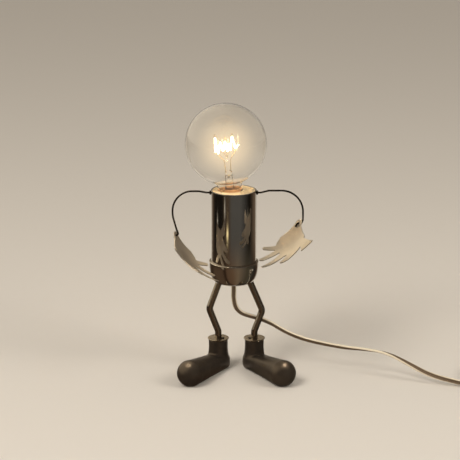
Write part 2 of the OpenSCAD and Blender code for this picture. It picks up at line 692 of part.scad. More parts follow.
module tie_band() translate(coil_at) rotate([0, 0, 200])
    translate([coil_r - coil_w / 2 - 1, -3, 0]) difference() {
        cube([coil_w + 2, 6, coil_hgt + 1]);
        translate([1.6, -1, 0.8]) cube([coil_w - 1.2, 8, coil_hgt - 1.2]);
    }

module coil_tie() color([0.15, 0.15, 0.15]) in_part() tie_band();

module cord_coil() color([0.80, 0.74, 0.62]) in_part() difference() {
    translate(coil_at) rotate_extrude() translate([coil_r, coil_hgt / 2]) union() {
        square([coil_w - 6, coil_hgt], center = true);
        square([coil_w, coil_hgt - 6], center = true);
        for (x = [-1, 1], y = [-1, 1])
            translate([x * (coil_w / 2 - 3), y * (coil_hgt / 2 - 3)]) circle(r = 3);
    }
    tie_band();
}

module plug_body() color([0.92, 0.90, 0.85]) in_part() translate([tail_pts[2].x, tail_pts[2].y, 0]) {
    translate([0, 0, tail_z]) rotate([-90, 0, 0]) rotate_extrude() polygon([
        [0, 0], [flex_w / 2 + 0.6, 0], [flex_w / 2 + 1.6, 18], [flex_w / 2 + 1.6, 24], [0, 24]
    ]);
    translate([0, 22, 0]) linear_extrude(height = 13) polygon([
        [-6, 0], [6, 0], [10, 6], [13, 20], [13, 32], [-13, 32], [-13, 20], [-10, 6]
    ]);
}

module plug_pins() color([0.82, 0.80, 0.75]) in_part()
    for (s = [-1, 1])
        translate([tail_pts[2].x + s * pin_gap / 2, tail_pts[2].y + 54, tail_z]) rotate([-90, 0, 0]) {
            cylinder(r = 2, h = pin_len - 1);
            translate([0, 0, pin_len - 1]) cylinder(r1 = 2, r2 = 1.2, h = 1);
        }

left_shoe();
right_shoe();
left_cuff_disc();
right_cuff_disc();
cuff_screws();
left_leg();
right_leg();
bottom_cup();
torso_tube();
top_plate();
stem_tube();
stem_nuts();
cord_bushing();
inner_flex();
holder_base();
holder_shell();
contact_block();
screw_shell();
centre_contact();
terminal_screws();
left_eyelet();
right_eyelet();
left_arm_wire();
right_arm_wire();
left_hand();
right_hand();
glass_globe();
bulb_cap();
cap_insulator();
cap_contact();
glass_mount();
lead_wires();
filament();
cord_run();
cord_coil();
coil_tie();
cord_tail();
plug_body();
plug_pins();
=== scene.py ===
# %% [markdown]
# # A desk lamp in the shape of a little man
# The lamp is a figure of tube, rod and sheet metal: a bare globe bulb for a head, a
# chromed tube for a body, bent wire arms with stamped hands, two bent legs and heavy
# cast shoes. The measured model comes first as a fixed frame, and every new piece is
# worked out in the same frame, so nothing has to be fitted afterwards.

import json
import math

import bpy
import numpy as np
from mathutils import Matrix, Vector


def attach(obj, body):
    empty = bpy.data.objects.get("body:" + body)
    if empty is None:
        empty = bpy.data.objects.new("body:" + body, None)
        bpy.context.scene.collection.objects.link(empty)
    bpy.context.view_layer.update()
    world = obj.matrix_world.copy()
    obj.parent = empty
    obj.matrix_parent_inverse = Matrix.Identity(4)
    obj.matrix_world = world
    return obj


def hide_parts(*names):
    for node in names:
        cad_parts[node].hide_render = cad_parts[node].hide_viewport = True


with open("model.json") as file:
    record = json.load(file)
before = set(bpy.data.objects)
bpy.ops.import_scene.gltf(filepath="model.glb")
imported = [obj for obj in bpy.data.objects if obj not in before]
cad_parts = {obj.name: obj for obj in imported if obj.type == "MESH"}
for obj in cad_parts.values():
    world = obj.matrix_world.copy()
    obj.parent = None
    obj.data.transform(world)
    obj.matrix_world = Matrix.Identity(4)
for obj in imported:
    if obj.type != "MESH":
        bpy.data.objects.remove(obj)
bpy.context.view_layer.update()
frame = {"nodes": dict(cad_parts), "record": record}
nodes = frame["nodes"]

# %% [markdown]
# ## Camera
# A long lens from two metres away keeps the tube's sides almost parallel. The camera
# stands a little above the lamp and looks down by 15.5 degrees, so the rim of the
# tube shows as a thin ellipse. A tracking constraint to an empty could aim it, but
# two points and a direction say the same and leave nothing behind in the file.

# %% Camera
camera_place, camera_target = (-0.0124, -1.9133, 0.7065), (-0.0124, 0.014, 0.172)


def add(name, data):
    """A new object in the scene that shows the data."""
    thing = bpy.data.objects.new(name, data)
    bpy.context.scene.collection.objects.link(thing)
    return thing


def aimed(thing, place, target):
    """Puts a camera or a lamp at a place and turns it, -Z first, to a point."""
    thing.location = place
    way = Vector(target) - Vector(place)
    thing.rotation_euler = way.to_track_quat("-Z", "Y").to_euler()
    return thing


camera_data = bpy.data.cameras.new("camera")
camera_data.lens, camera_data.sensor_width, camera_data.clip_end = 134.1, 36, 30
bpy.context.scene.camera = aimed(add("camera", camera_data), camera_place, camera_target)
print("camera", round(camera_data.lens, 1), "mm lens at", camera_place)

# %% [markdown]
# ## Two frames for the drawing numbers
# Sizes are written in millimetres, as on a drawing. The body's axis stands a little
# to one side of the part's origin, and the head leans five degrees from a point on
# that axis. Two functions take drawing points in either frame to metres, so no object
# is ever moved or turned: each place is in its mesh.

# %% Frames
body_axis = np.array([-0.008, 0.014, 0.0])
hip_height, rim_height, shoulder_height, bend_height = 109.5, 220.5, 217.1, 170.0
lean_angle = math.radians(5)


def in_part(points):
    """Millimetres about the body's axis to metres in the part's frame."""
    return np.asarray(points, float) * 0.001 + body_axis


def in_head(points):
    """Millimetres along the leaning head axis to metres: a turn about Y by the lean,
    then a lift to the bend of the stem."""
    x, y, s = np.moveaxis(np.asarray(points, float), -1, 0)
    c, k = math.cos(lean_angle), math.sin(lean_angle)
    return in_part(np.stack([x * c - s * k, y, bend_height + x * k + s * c], -1))


# %% [markdown]
# ## Surfaces from grids
# Every new shape is a grid of points: rows along a path or profile, columns round it.
# One function turns such a grid into a mesh with quads. Lathes, bent rods, the flex
# and the shoes are all this one idea with another formula for the points. Modifiers
# such as Screw or a curve's bevel would do for some of them, but a grid also carries
# clean UVs: metres along the piece, and the share of the way round it.

# %% Grid to mesh
def grid_faces(rows, columns, wrap_rows=False, wrap_columns=True, cap=(), first=0):
    """The faces of a grid whose points are numbered row by row from `first`, and the
    row and column of each square.

    Each square joins columns j and j + 1 of rows i and i + 1; wrapping joins the last
    one to the first. cap names the ends, start or end, closed by one polygon.
    """
    i, j = np.meshgrid(
        np.arange(rows if wrap_rows else rows - 1),
        np.arange(columns if wrap_columns else columns - 1),
        indexing="ij",
    )
    i, j = i.reshape(-1), j.reshape(-1)
    i2, j2 = (i + 1) % rows, (j + 1) % columns
    quads = np.stack(
        [i * columns + j, i * columns + j2, i2 * columns + j2, i2 * columns + j], -1
    )
    faces = (quads + first).tolist()
    if "start" in cap:
        faces.append((np.arange(columns)[::-1] + first).tolist())
    if "end" in cap:
        faces.append((np.arange((rows - 1) * columns, rows * columns) + first).tolist())
    return faces, i, j


def mesh_from_grid(name, grid, wrap_rows=False, wrap_columns=True, cap=(), uv=None):
    """A mesh from grid[row, column] = (x, y, z) in metres, wrapped and capped as its
    faces say. uv is the step of U for a row and of V for a column."""
    rows, columns = grid.shape[:2]
    faces, i, j = grid_faces(rows, columns, wrap_rows, wrap_columns, cap)
    mesh = bpy.data.meshes.new(name)
    mesh.from_pydata(grid.reshape(-1, 3).tolist(), [], faces)
    du, dv = uv or (1.0 / max(rows - 1, 1), 1.0 / columns)
    pairs = np.zeros((sum(len(f) for f in faces), 2))
    pairs[: 4 * len(i), 0] = ((i[:, None] + [0, 0, 1, 1]) * du).reshape(-1)
    pairs[: 4 * len(i), 1] = ((j[:, None] + [0, 1, 1, 0]) * dv).reshape(-1)
    mesh.uv_layers.new(name="UVMap").data.foreach_set("uv", pairs.reshape(-1))
    mesh.update()
    return mesh


# %% Finished pieces
def finish_piece(name, mesh, look, body, replaced, sharp=None):
    """Links a mesh as a finished piece that rides on a body, wears a finish and takes
    the place of some measured pieces. Edges over `sharp` degrees stay sharp."""
    piece = add(name, mesh)
    mesh.materials.append(finishes[look])
    mesh.shade_smooth()
    if sharp is not None:
        mesh.set_sharp_from_angle(angle=math.radians(sharp))
    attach(piece, body)
    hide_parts(*replaced)
    print(name, len(mesh.polygons), "faces")
    return piece


both_ends = ("start", "end")


def grid_piece(name, grid, look, body, replaced, sharp=None, **wrap):
    """A grid, turned into a mesh, as a finished piece."""
    return finish_piece(name, mesh_from_grid(name, grid, **wrap), look, body, replaced, sharp)


# %% [markdown]
# ## Fillets and bends
# A pressed edge and a bent rod are the same drawing problem: a corner that becomes an
# arc. One function rounds each corner of a line by its own radius, in a flat profile
# or in space. It adds a point just before and after each arc, so that smooth shading
# stays flat where the metal is flat. Bevel modifiers would need the sharp mesh first.

# %% Rounded lines
def rounded(corners, radii, closed=False, step=12.0, guard=0.25):
    """The corners of a line replaced by arcs.

    With half the corner's inner angle h and radius f, the arc starts and ends f / tan h
    from the corner, and its centre lies f / sin h from it on the bisector. Points on
    the arc are even mixes of the first and last spoke by the sines of their angles.
    """
    corners = np.asarray(corners, float)
    count = len(corners)
    pieces = []
    for k, (corner, radius) in enumerate(zip(corners, radii)):
        if radius <= 0 or (not closed and k in (0, count - 1)):
            pieces.append(corner[None])
            continue
        back, on = corners[k - 1] - corner, corners[(k + 1) % count] - corner
        back_long, on_long = np.linalg.norm(back), np.linalg.norm(on)
        back, on = back / back_long, on / on_long
        half = math.acos(np.clip(back @ on, -1, 1)) / 2
        trim = radius / math.tan(half)
        centre = corner + (back + on) / np.linalg.norm(back + on) * radius / math.sin(half)
        first, last = (corner + back * trim - centre), (corner + on * trim - centre)
        sweep = math.pi - 2 * half
        t = np.linspace(0, 1, max(2, math.ceil(math.degrees(sweep) / step)) + 1)[:, None]
        arc = centre + (np.sin((1 - t) * sweep) * first + np.sin(t * sweep) * last) / max(
            math.sin(sweep), 1e-9
        )
        before = corner + back * (trim + min(guard, 0.3 * max(back_long - trim, 0)))
        after = corner + on * (trim + min(guard, 0.3 * max(on_long - trim, 0)))
        pieces.append(np.vstack([before, arc, after]))
    return np.vstack(pieces)


def lathe(profile, columns):
    """grid[i, j] = (r cos a, r sin a, z): the profile's point i turned by the angle of
    column j."""
    profile = np.asarray(profile, float)
    angle = np.linspace(0, 2 * np.pi, columns, endpoint=False)[None, :]
    r, z = profile[:, :1], profile[:, 1:2]
    return np.stack([r * np.cos(angle), r * np.sin(angle), z + 0 * angle], -1)


def along_x(grid, way):
    """A lathe's grid laid down so that its axis runs along X, outwards by `way`."""
    x, y, z = np.moveaxis(grid, -1, 0)
    return np.stack([way * z, way * y, x], -1)


# %% [markdown]
# ## Lines in space
# Rods, wires and the flex follow a line. A spline through a few given points gives
# the flex its easy curves, and a frame carried along the line without twisting keeps
# a section from spinning where the line turns out of a plane.

# %% Splines and frames
def unit(way):
    """The vector brought to length 1."""
    return way / np.linalg.norm(way)


def run_of(line):
    """How far along the line each of its points lies."""
    return np.concatenate([[0], np.cumsum(np.linalg.norm(np.diff(line, axis=0), axis=1))])


def evenly(line, step):
    """The line resampled at even steps of its own length."""
    s = run_of(line)
    at = np.linspace(0, s[-1], max(2, int(round(s[-1] / step)) + 1))
    return np.stack([np.interp(at, s, line[:, k]) for k in range(3)], 1)


def length_of(line):
    """The length of a line of points."""
    return float(np.linalg.norm(np.diff(line, axis=0), axis=1).sum())


def spline(points, step):
    """A smooth line through the points, resampled about `step` apart.

    Centripetal Catmull-Rom: the knots lie the square root of each gap apart, and every
    stretch is a mix of mixes of its four nearest points, linear in the knots.
    """
    p = np.asarray(points, float)
    p = np.vstack([2 * p[0] - p[1], p, 2 * p[-1] - p[-2]])
    gaps = np.sqrt(np.linalg.norm(np.diff(p, axis=0), axis=1))
    knot = np.concatenate([[0], np.cumsum(gaps)])
    stretches = []
    for k in range(1, len(p) - 2):
        t = np.linspace(knot[k], knot[k + 1], 24, endpoint=False)[:, None]

        def mix(a, b, i, j):
            """Even mix of a at knot i and b at knot j, for each place in t."""
            return ((knot[j] - t) * a + (t - knot[i]) * b) / (knot[j] - knot[i])

        one = [mix(p[k + m - 1], p[k + m], k + m - 1, k + m) for m in (0, 1, 2)]
        two = [mix(one[m], one[m + 1], k + m - 1, k + m + 1) for m in (0, 1)]
        stretches.append(mix(two[0], two[1], k, k + 1))
    return evenly(np.vstack(stretches + [p[-2:-1]]), step)


def frames_along(line, first):
    """Unit tangent, side and rise at each point, turned as little as possible: the
    side keeps only what is square to each new tangent."""
    tangent = np.gradient(line, axis=0)
    tangent /= np.linalg.norm(tangent, axis=1, keepdims=True)
    side = np.empty_like(tangent)
    carried = np.asarray(first, float)
    for k, t in enumerate(tangent):
        carried = unit(carried - t * (carried @ t))
        side[k] = carried
    return tangent, side, np.cross(tangent, side)


def rod(line, radius, columns, first=(0, 1, 0)):
    """grid[i, j] = line[i] + radius[i] (side cos a + rise sin a): a round bar along a
    line, whose radius may change from point to point."""
    tangent, side, rise = frames_along(line, first)
    angle = np.linspace(0, 2 * np.pi, columns, endpoint=False)[None, :, None]
    radius = np.broadcast_to(np.asarray(radius, float).reshape(-1, 1, 1), (len(line), 1, 1))
    spokes = side[:, None] * np.cos(angle) + rise[:, None] * np.sin(angle)
    return line[:, None] + radius * spokes


def round_ends(line, radius, chamfer):
    """The line with three points added near each end and the radius there: the end's
    radius is less by chamfer (1 - sin t) where the line has gone chamfer (1 - cos t),
    so that a cut rod gets a small rounded edge instead of a knife edge."""
    turn = np.radians([0, 30, 60, 85])
    inset, drop = chamfer * (1 - np.sin(turn)), chamfer * (1 - np.cos(turn))
    start = line[0] + unit(line[1] - line[0]) * drop[:, None]
    end = line[-1] + unit(line[-2] - line[-1]) * drop[:, None]
    new = np.vstack([start, line[1:-1], end[::-1]])
    radii = np.full(len(new), float(radius))
    radii[:4] -= inset
    radii[-4:] -= inset[::-1]
    return new, radii


# %% [markdown]
# ## Wear and grain shared by the finishes
# Real metal is never one even gloss. Three small node groups make what several
# finishes need: smudges, the soft cloudy patches that fingers leave; scratches, fine
# lines pulled out along one direction; and grain, the pitted skin of a casting. Each
# is built once, with its sizes as inputs, and gives out only values that change over
# the surface. An image texture could do this too, but noise has no seams and stays
# sharp from every distance.

# %% Node helpers
def node(tree, kind, place, numbered=(), **settings):
    """Adds a shader node at a place in the tree's drawing. A setting is one of the
    node's options or, with _ for a space, the value of one of its inputs. Inputs that
    share their name get theirs by number: {number: value}."""
    made = tree.nodes.new(kind if kind.startswith("NodeGroup") else "ShaderNode" + kind)
    made.location = place
    for key, value in dict(numbered).items():
        made.inputs[key].default_value = value
    for key, value in settings.items():
        if hasattr(made, key):
            setattr(made, key, value)
        else:
            made.inputs[key.replace("_", " ")].default_value = value
    return made


def link(tree, *wires):
    """Joins sockets: each wire is (node, output, node, input)."""
    for source, output, target, entry in wires:
        tree.links.new(source.outputs[output], target.inputs[entry])


def start_group(name, inputs, outputs):
    """A node group with its sockets: {name: (type, value)} in and {name: type} out."""
    tree = bpy.data.node_groups.new(name, "ShaderNodeTree")
    for key, (kind, value) in inputs.items():
        socket = tree.interface.new_socket(key, in_out="INPUT", socket_type="NodeSocket" + kind)
        socket.default_value = value
    for key, kind in outputs.items():
        tree.interface.new_socket(key, in_out="OUTPUT", socket_type="NodeSocket" + kind)
    entry = node(tree, "NodeGroupInput", (-900, 0))
    return tree, entry, node(tree, "NodeGroupOutput", (600, 0))


# %% Group: smudges
smudges, entry, result = start_group(
    "smudges",
    {"Size": ("Float", 40.0), "Least": ("Float", 0.06), "Most": ("Float", 0.2)},
    {"Roughness": "Float"},
)
where = node(smudges, "TexCoord", (-900, 300))
cloud = node(smudges, "TexNoise", (-600, 200), Detail=5, Roughness=0.62, Distortion=0.6)
spread = node(smudges, "MapRange", (-200, 100), interpolation_type="SMOOTHSTEP",
              From_Min=0.38, From_Max=0.72)
link(
    smudges,
    (where, "Object", cloud, "Vector"), (entry, "Size", cloud, "Scale"),
    (cloud, "Fac", spread, "Value"), (entry, "Least", spread, "To Min"),
    (entry, "Most", spread, "To Max"), (spread, "Result", result, "Roughness"),
)

# %% Group: scratches
scratches, entry, result = start_group(
    "scratches",
    {"Stretch": ("Vector", (900.0, 900.0, 12.0)), "Depth": ("Float", 0.02),
     "Waves": ("Float", 0.4)},
    {"Normal": "Vector"},
)
where = node(scratches, "TexCoord", (-900, 300))
pull = node(scratches, "Mapping", (-700, 200))
lines = node(scratches, "TexNoise", (-480, 200), Scale=1, Detail=3)
swell = node(scratches, "TexNoise", (-480, -100), Scale=26, Detail=1)
fine = node(scratches, "Bump", (-150, 200), Distance=0.0002)
broad = node(scratches, "Bump", (200, 0), Distance=0.0006)
link(
    scratches,
    (where, "Object", pull, "Vector"), (entry, "Stretch", pull, "Scale"),
    (pull, "Vector", lines, "Vector"), (where, "Object", swell, "Vector"),
    (lines, "Fac", fine, "Height"), (entry, "Depth", fine, "Strength"),
    (swell, "Fac", broad, "Height"), (entry, "Waves", broad, "Strength"),
    (fine, "Normal", broad, "Normal"), (broad, "Normal", result, "Normal"),
)

# %% Group: grain
grain, entry, result = start_group(
    "grain",
    {"Size": ("Float", 900.0), "Depth": ("Float", 0.25), "Worn": ("Float", 0.5)},
    {"Normal": "Vector", "Wear": "Float", "Mottle": "Float"},
)
where = node(grain, "TexCoord", (-900, 300))
pits = node(grain, "TexNoise", (-600, 250), Detail=4)
dents = node(grain, "TexNoise", (-600, 0), Scale=70, Detail=2)
patches = node(grain, "TexNoise", (-600, -250), Scale=45, Detail=6)
skin = node(grain, "Bump", (-150, 250), Distance=0.0003)
cast = node(grain, "Bump", (150, 150), Distance=0.0016, Strength=0.35)
shape = node(grain, "NewGeometry", (-600, -500))
edge = node(grain, "MapRange", (-350, -450), From_Min=0.51, From_Max=0.6)
rub = node(grain, "Math", (-100, -350), operation="MULTIPLY")
level = node(grain, "Math", (150, -350), operation="MULTIPLY", use_clamp=True)
link(
    grain,
    (where, "Object", pits, "Vector"), (where, "Object", dents, "Vector"),
    (where, "Object", patches, "Vector"), (entry, "Size", pits, "Scale"),
    (entry, "Depth", skin, "Strength"), (pits, "Fac", skin, "Height"),
    (dents, "Fac", cast, "Height"), (skin, "Normal", cast, "Normal"),
    (cast, "Normal", result, "Normal"), (shape, "Pointiness", edge, "Value"),
    (edge, "Result", rub, 0), (patches, "Fac", rub, 1),
    (rub, "Value", level, 0), (entry, "Worn", level, 1),
    (level, "Value", result, "Wear"), (patches, "Fac", result, "Mottle"),
)
print("groups", [group.name for group in bpy.data.node_groups])

# %% [markdown]
# ## Finishes
# Each finish is one principled shader with its own colours, fed by the groups. They
# are named by what they are made of, and the measured model's pieces get theirs by
# the material slot in the record, so inside parts are finished as well.

# %% Finish helpers
finishes = {}


def new_finish(name, colour, metallic=0.0, roughness=0.4, **sockets):
    """A material with one principled shader; extra sockets are set by name."""
    material = bpy.data.materials.new(name)
    material.use_nodes = True
    shader = material.node_tree.nodes["Principled BSDF"]
    shader.inputs["Base Color"].default_value = (*colour, 1)
    shader.inputs["Metallic"].default_value = metallic
    shader.inputs["Roughness"].default_value = roughness
    for key, value in sockets.items():
        shader.inputs[key.replace("_", " ")].default_value = value
    finishes[name] = material
    return material.node_tree, shader


def use_group(tree, group, place, **values):
    """Places a shared group in a material with its own values."""
    return node(tree, "Group", place, node_tree=group, **values)


def set_stops(ramp, stops):
    """Gives a colour ramp its (place, colour) stops."""
    elements = ramp.color_ramp.elements
    while len(elements) < len(stops):
        elements.new(1.0)
    for element, (place, colour) in zip(elements, stops):
        element.position, element.color = place, (*colour, 1)


def tones(tree, shader, factor, *stops):
    """Base colour from a value, by a ramp of (place, colour) stops."""
    ramp = node(tree, "ValToRGB", (-300, 200))
    set_stops(ramp, stops)
    tree.links.new(factor, ramp.inputs["Fac"])
    tree.links.new(ramp.outputs["Color"], shader.inputs["Base Color"])
    return ramp


def two_tone(tree, shader, factor, colour, tint):
    """A soft cloudy mix of two tones; noise lies mostly between these two places."""
    tones(tree, shader, factor, (0.35, colour), (0.65, tint))


# %% Kinds of finish
def polished(name, colour, tint, rough, stretch, depth, waves, size, metallic=1.0):
    """A bare or plated metal: smudges in its gloss, drawn scratches, a slow swell in
    the surface that bends reflections, and a faint second tone."""
    tree, shader = new_finish(name, colour, metallic=metallic)
    blur = use_group(tree, smudges, (-700, 0), Size=size, Least=rough[0], Most=rough[1])
    lines = use_group(tree, scratches, (-700, -250), Stretch=stretch, Depth=depth, Waves=waves)
    where = node(tree, "TexCoord", (-900, 300))
    cloud = node(tree, "TexNoise", (-600, 300), Scale=size * 0.7, Detail=4)
    link(tree, (blur, "Roughness", shader, "Roughness"), (lines, "Normal", shader, "Normal"),
         (where, "Object", cloud, "Vector"))
    two_tone(tree, shader, cloud.outputs["Fac"], colour, tint)


def satin(name, colour, tint, metallic, pits, blur, least):
    """A plain finish with fine pits, a second tone in patches and an uneven gloss."""
    tree, shader = new_finish(name, colour, metallic=metallic)
    skin = use_group(tree, grain, (-700, 0), Size=pits, Depth=0.08)
    gloss = use_group(tree, smudges, (-700, -300), Size=blur, Least=least, Most=0.42)
    link(tree, (skin, "Normal", shader, "Normal"), (gloss, "Roughness", shader, "Roughness"))
    two_tone(tree, shader, skin.outputs["Mottle"], colour, tint)


# %% Metals
polished("chrome_body", (0.60, 0.575, 0.54), (0.54, 0.51, 0.47), (0.05, 0.12),
         (1400, 1400, 14), 0.05, 0.10, 30)
# chrome_rod is the body's chrome made darker: painted shade standing in for the dark
# reflections on the legs.
polished("chrome_rod", (0.37, 0.335, 0.29), (0.31, 0.28, 0.24), (0.07, 0.17),
         (1200, 1200, 20), 0.06, 0.12, 60)
polished("steel_trim", (0.60, 0.54, 0.45), (0.48, 0.42, 0.34), (0.22, 0.40),
         (500, 500, 500), 0.12, 0.2, 80)
# The hands' warm cream tone is partly steel and partly a painted reflection of warm light.
polished("hand_steel", (0.80, 0.73, 0.62), (0.72, 0.65, 0.54), (0.28, 0.38),
         (300, 1500, 300), 0.01, 0.10, 60, metallic=0.88)
polished("brass_fittings", (0.80, 0.62, 0.34), (0.70, 0.52, 0.26), (0.18, 0.34),
         (700, 700, 700), 0.1, 0.2, 120)
polished("solder", (0.52, 0.51, 0.50), (0.40, 0.39, 0.38), (0.3, 0.5),
         (500, 500, 500), 0.2, 0.4, 200)
polished("dark_wire", (0.055, 0.048, 0.042), (0.085, 0.072, 0.06), (0.22, 0.42),
         (900, 900, 900), 0.15, 0.2, 120)

# %% Warm metals near the light, plastics and ceramic
# cap_brass's orange is partly brass and partly the bulb's warm glow painted into its colour.
for name, colour, tint, metallic in (
    ("cream_plate", (0.97, 0.84, 0.60), (0.92, 0.76, 0.50), 0.35),
    ("cap_brass", (0.93, 0.60, 0.34), (0.88, 0.50, 0.26), 0.55),
):
    satin(name, colour, tint, metallic, pits=1800.0, blur=70.0, least=0.26)
for name, colour, tint in (
    ("white_plastic", (0.74, 0.71, 0.64), (0.68, 0.65, 0.57)),
    ("black_plastic", (0.028, 0.027, 0.026), (0.04, 0.038, 0.036)),
    ("white_ceramic", (0.82, 0.80, 0.76), (0.74, 0.72, 0.67)),
    ("black_glass", (0.02, 0.02, 0.024), (0.03, 0.03, 0.034)),
):
    satin(name, colour, tint, 0.0, pits=2500.0, blur=60.0, least=0.25)

# %% Cast shoes
# The Mix node's colour sockets share their names with its other kinds, so they are
# called by number here.
mix_share, mix_from, mix_to, mix_result = 0, 6, 7, 2
tree, shader = new_finish("cast_shoe", (0.10, 0.082, 0.065), metallic=0.75)
skin = use_group(tree, grain, (-700, 0), Size=1500.0, Depth=0.35, Worn=1.6)
dark = tones(tree, shader, skin.outputs["Mottle"], (0.3, (0.075, 0.060, 0.046)),
             (0.7, (0.120, 0.098, 0.076)))
bright = node(tree, "Mix", (-50, 200), {mix_to: (0.26, 0.22, 0.18, 1)}, data_type="RGBA")
gloss = node(tree, "MapRange", (-300, -100), From_Min=0.3, From_Max=0.7,
             To_Min=0.30, To_Max=0.46)
link(
    tree,
    (skin, "Normal", shader, "Normal"), (dark, "Color", bright, mix_from),
    (skin, "Wear", bright, mix_share), (bright, mix_result, shader, "Base Color"),
    (skin, "Mottle", gloss, "Value"), (gloss, "Result", shader, "Roughness"),
)

# %% [markdown]
# ## Glass, glow and flex
# The globe is blown clear glass, one millimetre thick, so it needs two real faces for
# light to bend at. The filament is white-hot wire: a strong warm emission. The flex
# is clear amber sheathing over two copper cores, and the cores show through as darker
# lines; the share of the way round the section, kept in V, says where they are. A pale
# band along each outer edge of the flex is a painted highlight.

# %% Clear glass
tree, shader = new_finish("clear_glass", (1.0, 0.985, 0.955), roughness=0.0,
                          Transmission_Weight=1.0, IOR=1.47)
ripple = use_group(tree, scratches, (-500, -200), Stretch=(30, 30, 30), Depth=0.0, Waves=0.06)
link(tree, (ripple, "Normal", shader, "Normal"))

# %% Glowing filament
tree, shader = new_finish("glowing_filament", (1.0, 0.8, 0.5), roughness=0.6,
                          Emission_Strength=9.0)
where = node(tree, "TexCoord", (-900, 0))
spots = node(tree, "TexNoise", (-650, 0), Scale=140)
heat = node(tree, "ValToRGB", (-350, 0))
set_stops(heat, [(0.3, (1.0, 0.66, 0.30)), (0.65, (1.0, 0.84, 0.56))])
link(tree, (where, "Object", spots, "Vector"), (spots, "Fac", heat, "Fac"),
     (heat, "Color", shader, "Emission Color"))

# %% Flex sheath
tree, shader = new_finish("flex_sheath", (0.66, 0.56, 0.42), roughness=0.24,
                          Coat_Weight=0.3, Coat_Roughness=0.12)
uv = node(tree, "UVMap", (-1100, 0), uv_map="UVMap")
split = node(tree, "SeparateXYZ", (-900, 0))
whole = node(tree, "Math", (-720, 0), {1: 2 * math.pi}, operation="MULTIPLY")
wave = node(tree, "Math", (-560, 0), operation="SINE")
from_groove = node(tree, "Math", (-400, 0), operation="ABSOLUTE")
skin = use_group(tree, grain, (-700, -300), Size=1200.0, Depth=0.05)
# Dark where the copper cores show and lighter in the grooves; the pale last stop, at the outer
# edges, is a painted highlight.
tones(tree, shader, from_groove.outputs["Value"],
      (0.0, (0.44, 0.34, 0.23)), (0.12, (0.12, 0.08, 0.05)),
      (0.70, (0.17, 0.115, 0.07)), (0.90, (0.86, 0.76, 0.58)))
link(
    tree,
    (uv, "UV", split, "Vector"), (split, "Y", whole, 0), (whole, "Value", wave, 0),
    (wave, "Value", from_groove, 0), (skin, "Normal", shader, "Normal"),
)

# %% Finishes for the measured pieces
slot_of = {part["node"]: part["material_slot"] for part in frame["record"]["subparts"]}
slot_of["cuff_screws"] = "dark_wire"
for name, thing in nodes.items():
    thing.data.materials.clear()
    thing.data.materials.append(finishes[slot_of[name]])
print("finishes", len(finishes))

# %% [markdown]
# ## The flex
# The lead is a clear two-core flex: two round cores side by side, six millimetres
# across. It leaves the stem under the body, hangs between the legs, passes behind one
# of them and comes down to the bench in one long easy curve. What is left over is
# wound into a tied coil, and its plug lies beside it. A bevelled curve could do for a
# round lead; a flat one needs its own section, swept along the route and slowly
# turned, as such a flex turns by itself.

# %% Route of the flex
flex_width, flex_step, coil_middle = 0.006, 0.002, (318, -32)
hanging = [
    (0, 0, 105.3), (0, 0, 98), (0, 0.5, 90), (1, 2, 82), (3.5, 4.5, 74.5), (9, 8, 68),
    (17, 11.5, 63.5), (26, 14, 60), (36, 14.5, 56.5), (46, 12.5, 52.5), (56, 9, 47.5),
    (66, 6, 43), (79, 4.5, 38), (92, 3, 34.5), (106, 0.5, 32), (120, -3.5, 30.5),
    (134, -9, 30), (148, -13, 30), (162, -17, 29.5), (175, -21.5, 28.5),
    (187, -27.5, 26), (199, -33, 21.5), (211, -40, 17), (223, -46, 12.5),
    (235, -51.5, 9.5), (248, -56.5, 7.5), (262, -61, 5.5), (276, -65, 4),
    (288, -67.8, 3.4), (300, -71, 3),
]
leaving = [
    (333, -71.2, 9), (347, -62.5, 9), (355.5, -50, 9), (358, -38, 8.8), (356, -26, 8.2),
    (354.3, -14, 7.2), (354, -4, 6.6), (354, 6, 6.5), (354, 14, 6.5),
]


def coil_turns(middle, radii, heights, points=24):
    """Turns beside and on each other. Each keeps its radius for five sixths of its way
    round, then moves to the next one's radius and height by a smooth step."""
    turns = []
    for k, (r, z) in enumerate(zip(radii, heights)):
        r2 = radii[k + 1] if k + 1 < len(radii) else r
        z2 = heights[k + 1] if k + 1 < len(radii) else z
        t = np.arange(points) / points
        w = np.clip(t * 6 - 5, 0, 1)
        w = w * w * (3 - 2 * w)
        angle = 2 * np.pi * t - np.pi / 2
        radius, height = r + (r2 - r) * w, z + (z2 - z) * w
        turns.append(np.stack([radius * np.cos(angle), radius * np.sin(angle), height], 1))
    last = [[0, -radii[-1], heights[-1]]]
    return np.asarray(middle, float) + np.vstack(turns + [last])


turns = coil_turns((*coil_middle, 0), (42, 36, 30, 30, 36, 42), (3, 3, 3, 9, 9, 9))
flex_line = spline(in_part(np.vstack([hanging, turns, leaving])), flex_step)
flex_length = length_of(flex_line)
print("flex", round(flex_length, 3), "m, in the coil", round(length_of(in_part(turns)), 3))

# %% Section and turn of the flex
def two_core_section(width, lobe, points=11):
    """Two circles of radius `lobe` side by side, `width` across: each gives its outer
    arc, from one crossing with the other to the next, so the outline is an eight."""
    centre = width / 2 - lobe
    cut = math.acos(centre / lobe)
    arc = np.linspace(cut - math.pi, math.pi - cut, points + 1)[:-1]
    right = np.stack([centre + lobe * np.cos(arc), lobe * np.sin(arc)], 1)
    return np.vstack([right, -right])


def swept(line, section, first, turn):
    """grid[i, j] = line[i] + the section's point j laid on the line's side and rise,
    after turning the section by turn[i] about the line."""
    tangent, side, rise = frames_along(line, first)
    c, s = np.cos(turn)[:, None], np.sin(turn)[:, None]
    x = c * section[None, :, 0] - s * section[None, :, 1]
    y = s * section[None, :, 0] + c * section[None, :, 1]
    return line[:, None] + x[..., None] * side[:, None] + y[..., None] * rise[:, None]


